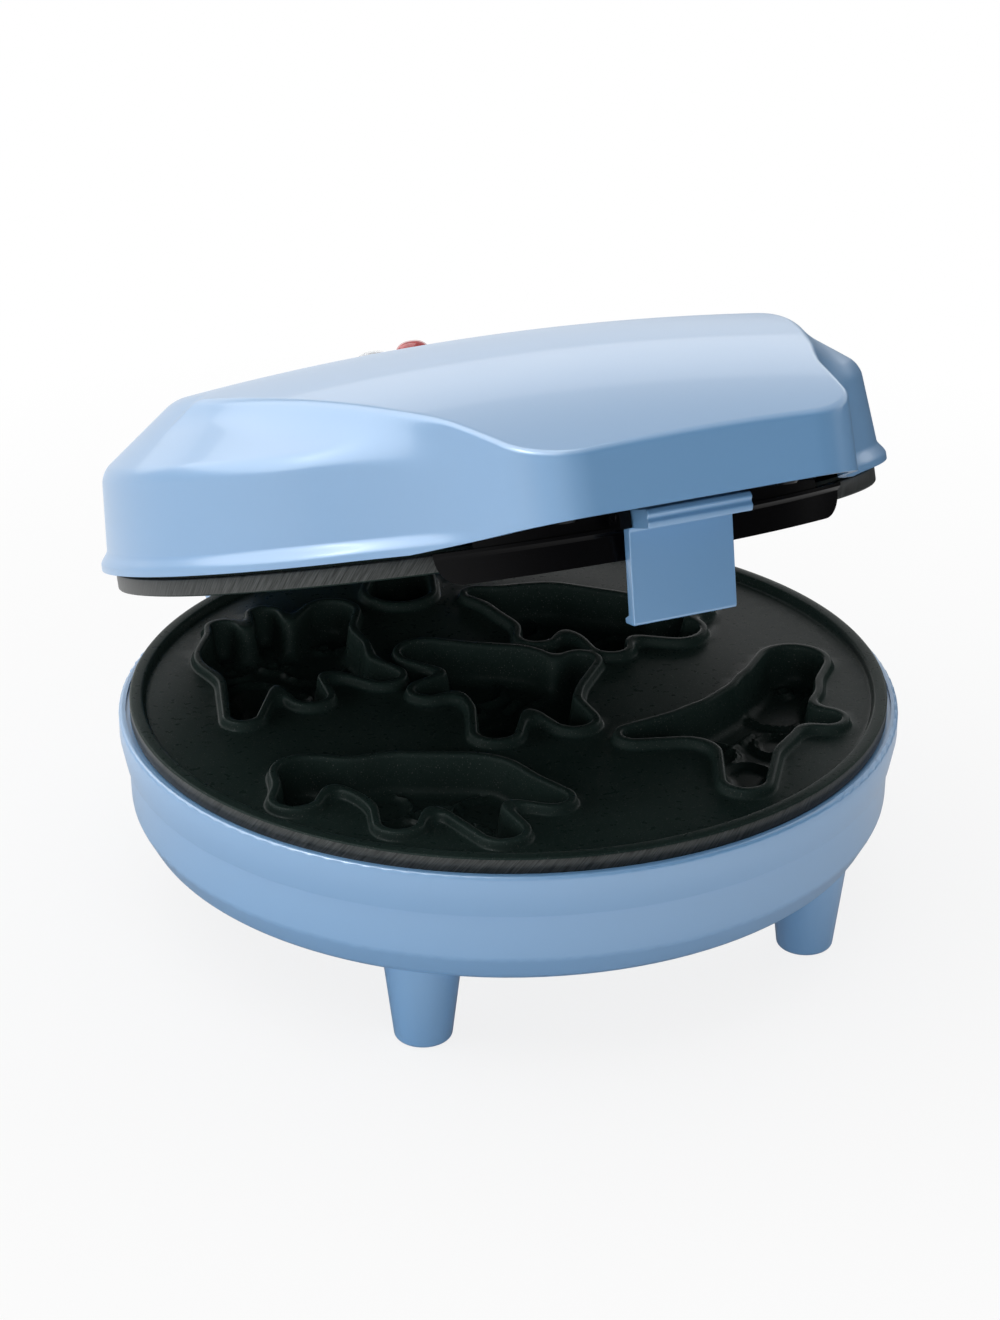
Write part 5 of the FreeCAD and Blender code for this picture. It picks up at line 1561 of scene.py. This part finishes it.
class PieceTree(NodeNet):
    """Geometry Nodes tree that sets a small piece on every incoming point."""

    def __init__(self, name: str, sizes: dict[str, float]) -> None:
        """Start a tree with named inputs.

        Args:
            name: Name of the tree.
            sizes: Its number inputs, in metres or radians.
        """
        super().__init__(bpy.data.node_groups.new(name, "GeometryNodeTree"))
        self.sizes = sizes
        inputs = {"Geometry": "Geometry", **dict.fromkeys(sizes, "Float")}
        inputs |= {"Turn": "Vector", "Finish": "Material"}
        for label, kind in inputs.items():
            self.tree.interface.new_socket(label, in_out="INPUT", socket_type=f"NodeSocket{kind}")
        self.tree.interface.new_socket("Geometry", in_out="OUTPUT", socket_type="NodeSocketGeometry")
        self.inlet = self.put("NodeGroupInput").outputs

    def times(self, first: Socket, second: float) -> Socket:
        """Multiply a socket.

        Args:
            first: The socket.
            second: The factor.

        Returns:
            The product.
        """
        return self.math("MULTIPLY", first, second)

    def lifted(self, geometry: Socket, height: Socket | float) -> Socket:
        """Move geometry along Z.

        Args:
            geometry: What to move.
            height: How far.

        Returns:
            The moved geometry.
        """
        shift = self.add("ShaderNodeCombineXYZ", {2: height})
        return self.add("GeometryNodeTransform", {"Geometry": geometry, "Translation": shift})

    def round_bar(
        self, low: Socket, high: Socket, length: Socket, start: Socket | float, sides: int
    ) -> Socket:
        """Round bar or frustum along Z.

        Args:
            low: Radius at its start.
            high: Radius at its end.
            length: Length along Z.
            start: Height of its start.
            sides: Faces around it.

        Returns:
            Its mesh.
        """
        sizes = {"Vertices": sides, "Radius Bottom": low, "Radius Top": high, "Depth": length}
        return self.lifted(self.add("GeometryNodeMeshCone", sizes), start)

    def circle(self, radius: Socket, sides: int) -> Socket:
        """Flat ring.

        Args:
            radius: Its radius.
            sides: Its corners.

        Returns:
            Its curve.
        """
        return self.add("GeometryNodeCurvePrimitiveCircle", {"Resolution": sides, "Radius": radius})

    def swept(self, path: Socket, section: Socket, caps: bool) -> Socket:
        """Section swept along a path.

        Args:
            path: Curve to follow.
            section: Curve of the section.
            caps: Close the ends.

        Returns:
            The mesh.
        """
        sweep = {"Curve": path, "Profile Curve": section, "Fill Caps": caps}
        return self.add("GeometryNodeCurveToMesh", sweep)

    def less(self, body: Socket, tools: list[Socket]) -> Socket:
        """Cut tools from a mesh.

        Args:
            body: The mesh.
            tools: Meshes to take away.

        Returns:
            What stays.
        """
        meshes = {"Mesh 1": body, "Mesh 2": tools}
        return self.add("GeometryNodeMeshBoolean", meshes, operation="DIFFERENCE")

    def close(self, pieces: list[Socket]) -> None:
        """End the tree with the joined pieces on every point, as plain geometry in its finish.

        Args:
            pieces: What the tree has made.
        """
        whole = self.add("GeometryNodeJoinGeometry", {0: pieces})
        inputs = {"Points": self.inlet["Geometry"], "Instance": whole, "Rotation": self.inlet["Turn"]}
        copies = self.add("GeometryNodeInstanceOnPoints", inputs)
        plain = self.add("GeometryNodeRealizeInstances", {0: copies})
        coated = {"Geometry": plain, "Material": self.inlet["Finish"]}
        self.put("NodeGroupOutput", {0: self.add("GeometryNodeSetMaterial", coated)})

    def grow(
        self,
        tag: Tag,
        places: Iterable[Place],
        turn: Place = UPRIGHT,
        look: Optional[Extra] = None,
        changes: Optional[dict[str, float]] = None,
    ) -> None:
        """Run the tree and keep its result as a piece with a plain mesh.

        Args:
            tag: What the piece is.
            places: Points to set it on.
            turn: How it is turned there.
            look: Finish in place of that of its slot.
            changes: Inputs with other values.
        """
        points = bpy.data.meshes.new(f"{tag.name}_points")
        points.from_pydata([tuple(value * MM for value in place) for place in places], [], [])
        piece = placed(tag.name, points)
        modifier = piece.modifiers.new("pieces", "NODES")
        modifier.node_group = self.tree
        values = {**self.sizes, **(changes or {}), "Turn": turn, "Finish": finish(look or tag.slot)}
        for socket in self.tree.interface.items_tree:
            if socket.in_out == "INPUT" and socket.name in values:
                modifier[socket.identifier] = values[socket.name]
        settle(piece)
        bpy.data.meshes.remove(points)
        mesh = piece.data
        mesh.name = tag.name
        smooth(mesh, sharp=35.0)
        if tag.body is Body.LID:
            corners = np.empty(len(mesh.vertices) * 3)
            mesh.vertices.foreach_get("co", corners)
            corners = HINGE.open(corners.reshape(-1, 3) / MM) * MM
            mesh.vertices.foreach_set("co", corners.ravel())
            mesh.update()
        dress(piece, tag)


@dataclass(frozen=True)
class Screws:
    """Pan head screws with a cross recess and a thread, all from one tree."""

    head_radius: float = 3.5
    head_height: float = 2.4
    shank_radius: float = 1.75
    shank_length: float = 14.0
    drive_width: float = 0.9
    thread_depth: float = 0.3
    thread_turns: float = 9.0
    crown_share: float = 0.68
    slot_reach: float = 1.15
    slot_place: float = -1.05
    straight_share: float = 0.86
    thread_share: float = 0.84
    tip_share: float = 0.2
    thread_steps: int = 16
    ridge_sides: int = 4
    head_sides: int = 32
    shank_sides: int = 20
    base_seat: float = 31.0
    roof_seat: float = 88.8
    nose_places: tuple[Place, ...] = ((-30.0, -114.0, 73.0), (30.0, -114.0, 73.0))

    def tree(self) -> PieceTree:
        """Make the tree: the head lies under the seat and the shank over it.

        Returns:
            The tree.
        """
        sizes = {
            "Head Radius": self.head_radius * MM,
            "Head Height": self.head_height * MM,
            "Shank Radius": self.shank_radius * MM,
            "Shank Length": self.shank_length * MM,
            "Drive Width": self.drive_width * MM,
            "Thread Depth": self.thread_depth * MM,
        }
        tree = PieceTree("screw_set", sizes)
        radius, height, outer, length, width, depth = (tree.inlet[name] for name in sizes)
        half, reach = tree.times(height, 0.5), tree.times(radius, self.slot_reach)
        rim = tree.round_bar(radius, radius, half, tree.times(height, -0.5), self.head_sides)
        crown = tree.times(radius, self.crown_share)
        dome = tree.round_bar(crown, radius, half, tree.times(height, -1.0), self.head_sides)
        slots = []
        for first, second in ((width, reach), (reach, width)):
            box = tree.add("ShaderNodeCombineXYZ", {0: first, 1: second, 2: height})
            cube = tree.add("GeometryNodeMeshCube", {"Size": box})
            slots.append(tree.lifted(cube, tree.times(height, self.slot_place)))
        bar = tree.math("SUBTRACT", outer, depth)
        straight = tree.times(length, self.straight_share)
        point = tree.times(length, 1.0 - self.straight_share)
        shank = tree.round_bar(bar, bar, straight, 0.0, self.shank_sides)
        tip = tree.round_bar(bar, tree.times(bar, self.tip_share), point, straight, self.shank_sides)
        spiral = {"Resolution": self.thread_steps, "Rotations": self.thread_turns}
        spiral |= {"Start Radius": bar, "End Radius": bar, "Height": tree.times(length, self.thread_share)}
        helix = tree.add("GeometryNodeCurveSpiral", spiral)
        thread = tree.swept(helix, tree.circle(depth, self.ridge_sides), caps=True)
        tree.close([rim, tree.less(dome, slots), shank, tip, thread])
        return tree

    def build(self) -> None:
        """Make the three sets of screws."""
        tree = self.tree()
        base, roof = ([(x, y, z) for x, y in screw_places()] for z in (self.base_seat, self.roof_seat))
        tree.grow(Tag("bowl_screw_set", "base_screws", Body.BASE, Slot.SCREW), base)
        tree.grow(Tag("plate_screw_set", "plate_screws", Body.LID, Slot.SCREW), roof, HANGING)
        nose = Tag("guard_screw_set", "guard_screws", Body.LID, Slot.SCREW)
        tree.grow(nose, self.nose_places, look=Extra.DARK_STEEL)


@dataclass(frozen=True)
class FootPads:
    """Four round rubber pads, from one tree.

    The ring groove does not come out: its cut leaves only slivers of the tread, the lowest layer.
    """

    radius: float = 4.6
    thick: float = 1.8
    groove: float = 0.35
    groove_place: float = 0.55
    circle: float = 89.96
    angle: float = 51.09
    sides: int = 48
    groove_sides: int = 8

    def build(self) -> None:
        """Make the pads."""
        sizes = {"Radius": self.radius * MM, "Thick": self.thick * MM, "Groove": self.groove * MM}
        tree = PieceTree("pad_set", sizes)
        radius, thick, groove = (tree.inlet[name] for name in sizes)
        body = tree.round_bar(radius, radius, tree.math("SUBTRACT", thick, groove), groove, self.sides)
        tread = tree.round_bar(tree.math("SUBTRACT", radius, groove), radius, groove, 0.0, self.sides)
        ring = tree.circle(tree.times(radius, self.groove_place), self.sides)
        cutter = tree.swept(ring, tree.circle(groove, self.groove_sides), caps=False)
        tree.close([body, tree.less(tread, [cutter])])
        lean = math.radians(self.angle)
        across, along = self.circle * math.cos(lean), self.circle * math.sin(lean)
        places = [(x * across, y * along, 0.0) for x in (-1, 1) for y in (-1, 1)]
        tree.grow(Tag("pad_set", "foot_pads", Body.BASE, Slot.RUBBER), places)


@dataclass(frozen=True)
class HeatingRings:
    """Bent heating tubes with a cold pin at each end, swept along an arc of some degrees."""

    radius: float = 66.0
    tube: float = 3.2
    sweep: float = 312.0
    pin_radius: float = 1.6
    pin_length: float = 11.5
    lower_height: float = 43.0
    upper_height: float = 79.8
    steps: int = 120
    sides: int = 20

    def build(self) -> None:
        """Make both heating rings; the pins point away from the plates."""
        sizes = {
            "Ring Radius": self.radius * MM,
            "Tube Radius": self.tube * MM,
            "Sweep": math.radians(self.sweep),
            "Pin Radius": self.pin_radius * MM,
            "Pin Length": self.pin_length * MM,
            "Pin Start": 0.0,
        }
        tree = PieceTree("heating_ring", sizes)
        radius, tube, sweep, pin_radius, pin_length, pin_start = (tree.inlet[name] for name in sizes)
        path = {"Resolution": self.steps, "Radius": radius, "Sweep Angle": sweep}
        bend = tree.add("GeometryNodeCurveArc", path)
        ends = tree.add("GeometryNodeCurveEndpointSelection", {"Start Size": 1, "End Size": 1})
        points = tree.add("GeometryNodeCurveToPoints", {"Curve": bend}, mode="EVALUATED")
        pin = tree.round_bar(pin_radius, pin_radius, pin_length, pin_start, self.sides)
        placing = {"Points": points, "Selection": ends, "Instance": pin}
        pins = tree.add("GeometryNodeInstanceOnPoints", placing)
        tree.close([tree.swept(bend, tree.circle(tube, self.sides), caps=True), pins])
        lower = Tag("lower_heating_ring", "lower_heating_element", Body.BASE, Slot.HEATER)
        upper = Tag("upper_heating_ring", "upper_heating_element", Body.LID, Slot.HEATER)
        hanging = {"Pin Start": -self.pin_length * MM}
        tree.grow(lower, [(0.0, 0.0, self.lower_height)], changes=hanging)
        tree.grow(upper, [(0.0, 0.0, self.upper_height)])


# Studio


def aimed(item: bpy.types.Object, place: Place, aim: Place) -> None:
    """Set a lamp or camera down and turn it to a point.

    Args:
        item: The object.
        place: Where it stands.
        aim: Where it looks.
    """
    item.location = place
    item.rotation_euler = (Vector(place) - Vector(aim)).to_track_quat("Z", "Y").to_euler()


@dataclass(frozen=True)
class Softbox:
    """Rectangular lamp aimed at the cooker, which may be lit by it, mirror it, or both."""

    name: str
    place: Place
    size: tuple[float, float]
    power: float
    lit: bool = True
    mirrored: bool = True
    aim: Place = (0.0, 0.0, 0.08)

    def build(self) -> None:
        """Hang the lamp."""
        lamp = bpy.data.lights.new(self.name, "AREA")
        lamp.shape = "RECTANGLE"
        lamp.size, lamp.size_y = self.size
        lamp.energy = self.power
        item = placed(self.name, lamp)
        aimed(item, self.place, self.aim)
        item.visible_camera = False
        item.visible_diffuse = self.lit
        item.visible_glossy = self.mirrored


@dataclass(frozen=True)
class Studio:
    """Pale floor, soft lamps, white surroundings and the camera of the photograph."""

    camera_place: Place = (-0.34273, -0.74077, 0.44690)
    camera_aim: Place = (-0.0025, 0.0, 0.06737)
    lens: float = 89.28
    sensor: float = 36.0
    clip: Span = (0.01, 50.0)
    ambient: float = 0.40
    dark_side: Place = (0.50, -0.84, 0.20)
    dark_span: Span = (0.30, 0.88)
    dark_level: float = 0.10
    floor_reach: float = 6.0
    floor_tone: float = 0.86
    white_share: Span = (0.84, 1.0)
    white_span: Span = (0.10, 0.45)
    # Painted glow on the floor that only reflections see: a bright patch near the front left and one behind,
    # though the floor is no lamp.
    near_place: Place = (-0.26, -0.04, 0.0)
    near_span: Span = (0.36, 0.62)
    painted_near_glow: Span = (1.0, 0.0)
    far_side: Place = (-0.75, 0.66, 0.0)
    far_span: Span = (-0.05, 0.20)
    painted_far_glow: Span = (0.05, 0.95)
    # Painted shade in that glow, darkest where the cooker stands.
    contact_span: Span = (0.09, 0.18)
    painted_contact_shade: Span = (0.15, 1.0)
    lamps: tuple[Softbox, ...] = (
        Softbox("top_panel", (-0.60, 0.45, 1.25), (2.4, 2.0), 27.0, lit=False),
        Softbox("key_panel", (-0.87, 0.05, 1.25), (0.55, 0.35), 4.0, lit=False),
        Softbox("back_panel", (0.40, 1.70, 0.42), (2.6, 0.45), 3.2, lit=False),
        Softbox("top_lamp", (-0.30, 0.20, 1.30), (1.6, 1.6), 9.0, mirrored=False),
        Softbox("left_lamp", (-1.30, 0.15, 0.28), (1.6, 0.5), 7.0, mirrored=False),
        Softbox("front_fill", (-0.20, -1.65, 0.50), (1.6, 0.9), 8.5, mirrored=False),
        Softbox("right_lamp", (1.35, 0.40, 0.45), (1.6, 0.6), 6.5, mirrored=False),
    )

    def build(self) -> None:
        """Make floor, surroundings, lamps and camera."""
        scene = bpy.context.scene
        scene.view_settings.view_transform = "Standard"
        self.floor()
        self.sky()
        for lamp in self.lamps:
            lamp.build()
        data = bpy.data.cameras.new("camera")
        data.lens = self.lens
        data.sensor_width = self.sensor
        data.clip_start, data.clip_end = self.clip
        camera = placed("camera", data)
        aimed(camera, self.camera_place, self.camera_aim)
        scene.camera = camera

    def floor(self) -> None:
        """Lay the pale floor, which keeps the cooker's shadow and goes over to white further out.

        For reflections it carries a painted glow, white beside and behind the cooker, with painted shade
        darkening it where the cooker stands.
        """
        material = bpy.data.materials.new("pale_floor")
        material.use_nodes = True
        net = NodeNet(material.node_tree)
        here = net.add("ShaderNodeTexCoord", result="Object")
        rays = net.put("ShaderNodeLightPath").outputs
        measure = "ShaderNodeVectorMath"
        out = net.add(measure, {0: here}, "Value", operation="LENGTH")
        apart = net.add(measure, {0: here, 1: self.near_place}, "Value", operation="DISTANCE")
        behind = net.add(measure, {0: here, 1: self.far_side}, "Value", operation="DOT_PRODUCT")
        near = net.spread(apart, self.painted_near_glow, self.near_span)
        far = net.spread(behind, self.painted_far_glow, self.far_span)
        # Painted shade: the reflected floor glow is dimmed close to the cooker.
        shade = net.spread(out, self.painted_contact_shade, self.contact_span)
        strength = net.math("MULTIPLY", net.math("MAXIMUM", near, far), shade)
        seen = net.math("MULTIPLY", rays["Is Camera Ray"], net.spread(out, self.white_share, self.white_span))
        white = net.add("ShaderNodeEmission")
        # Emission seen only by glossy rays: the painted floor glow for reflections.
        sheen = net.add("ShaderNodeEmission", {"Strength": strength})
        tone = (self.floor_tone, self.floor_tone, self.floor_tone, 1.0)
        ground = net.add("ShaderNodeBsdfDiffuse", {"Color": tone})
        layer = net.layered(ground, ((seen, white), (rays["Is Glossy Ray"], sheen)))
        net.put("ShaderNodeOutputMaterial", {"Surface": layer})
        mesh = bpy.data.meshes.new("floor")
        edge = self.floor_reach
        corners = [(-edge, -edge, 0.0), (edge, -edge, 0.0), (edge, edge, 0.0), (-edge, edge, 0.0)]
        mesh.from_pydata(corners, [], [(0, 1, 2, 3)])
        mesh.materials.append(material)
        placed("floor", mesh)

    def sky(self) -> None:
        """White surroundings for the eye; as a light and in reflections, darker at the front right."""
        world = bpy.data.worlds.new("surroundings")
        world.use_nodes = True
        net = NodeNet(world.node_tree)
        heading = net.add("ShaderNodeTexCoord", result="Generated")
        side = Vector(self.dark_side).normalized()
        towards = net.add("ShaderNodeVectorMath", {0: heading, 1: side}, "Value", operation="DOT_PRODUCT")
        fade = net.spread(towards, (1.0, self.dark_level), self.dark_span, interpolation_type="SMOOTHSTEP")
        soft = net.add("ShaderNodeBackground", {"Strength": net.math("MULTIPLY", fade, self.ambient)})
        mirrored = net.add("ShaderNodeBackground", {"Strength": fade})
        white = net.add("ShaderNodeBackground", {"Color": (1.0, 1.0, 1.0, 1.0)})
        rays = net.put("ShaderNodeLightPath").outputs
        covers = (("Is Glossy Ray", mirrored), ("Is Transmission Ray", mirrored), ("Is Camera Ray", white))
        layer = net.layered(soft, ((rays[name], light) for name, light in covers))
        net.put("ShaderNodeOutputWorld", {"Surface": layer})
        bpy.context.scene.world = world


def coat_solids() -> None:
    """Give every solid the finish of its slot."""
    for row in frame["record"]["subparts"]:
        mesh = frame["nodes"][row["node"]].data
        mesh.materials.clear()
        mesh.materials.append(finish(Slot(row["material_slot"])))


def main() -> None:
    """Build the dressed cooker and its studio."""
    logging.basicConfig(level=logging.INFO, format="%(name)s: %(message)s")
    coat_solids()
    LidShell().build()
    skins = plate_skins()
    for plate in PLATES:
        plate.build(skins)
    for piece in (*SOFTENED, Latch(), *LAMPS, Screws(), FootPads(), HeatingRings(), Studio()):
        piece.build()


if __name__ == "__main__":
    main()
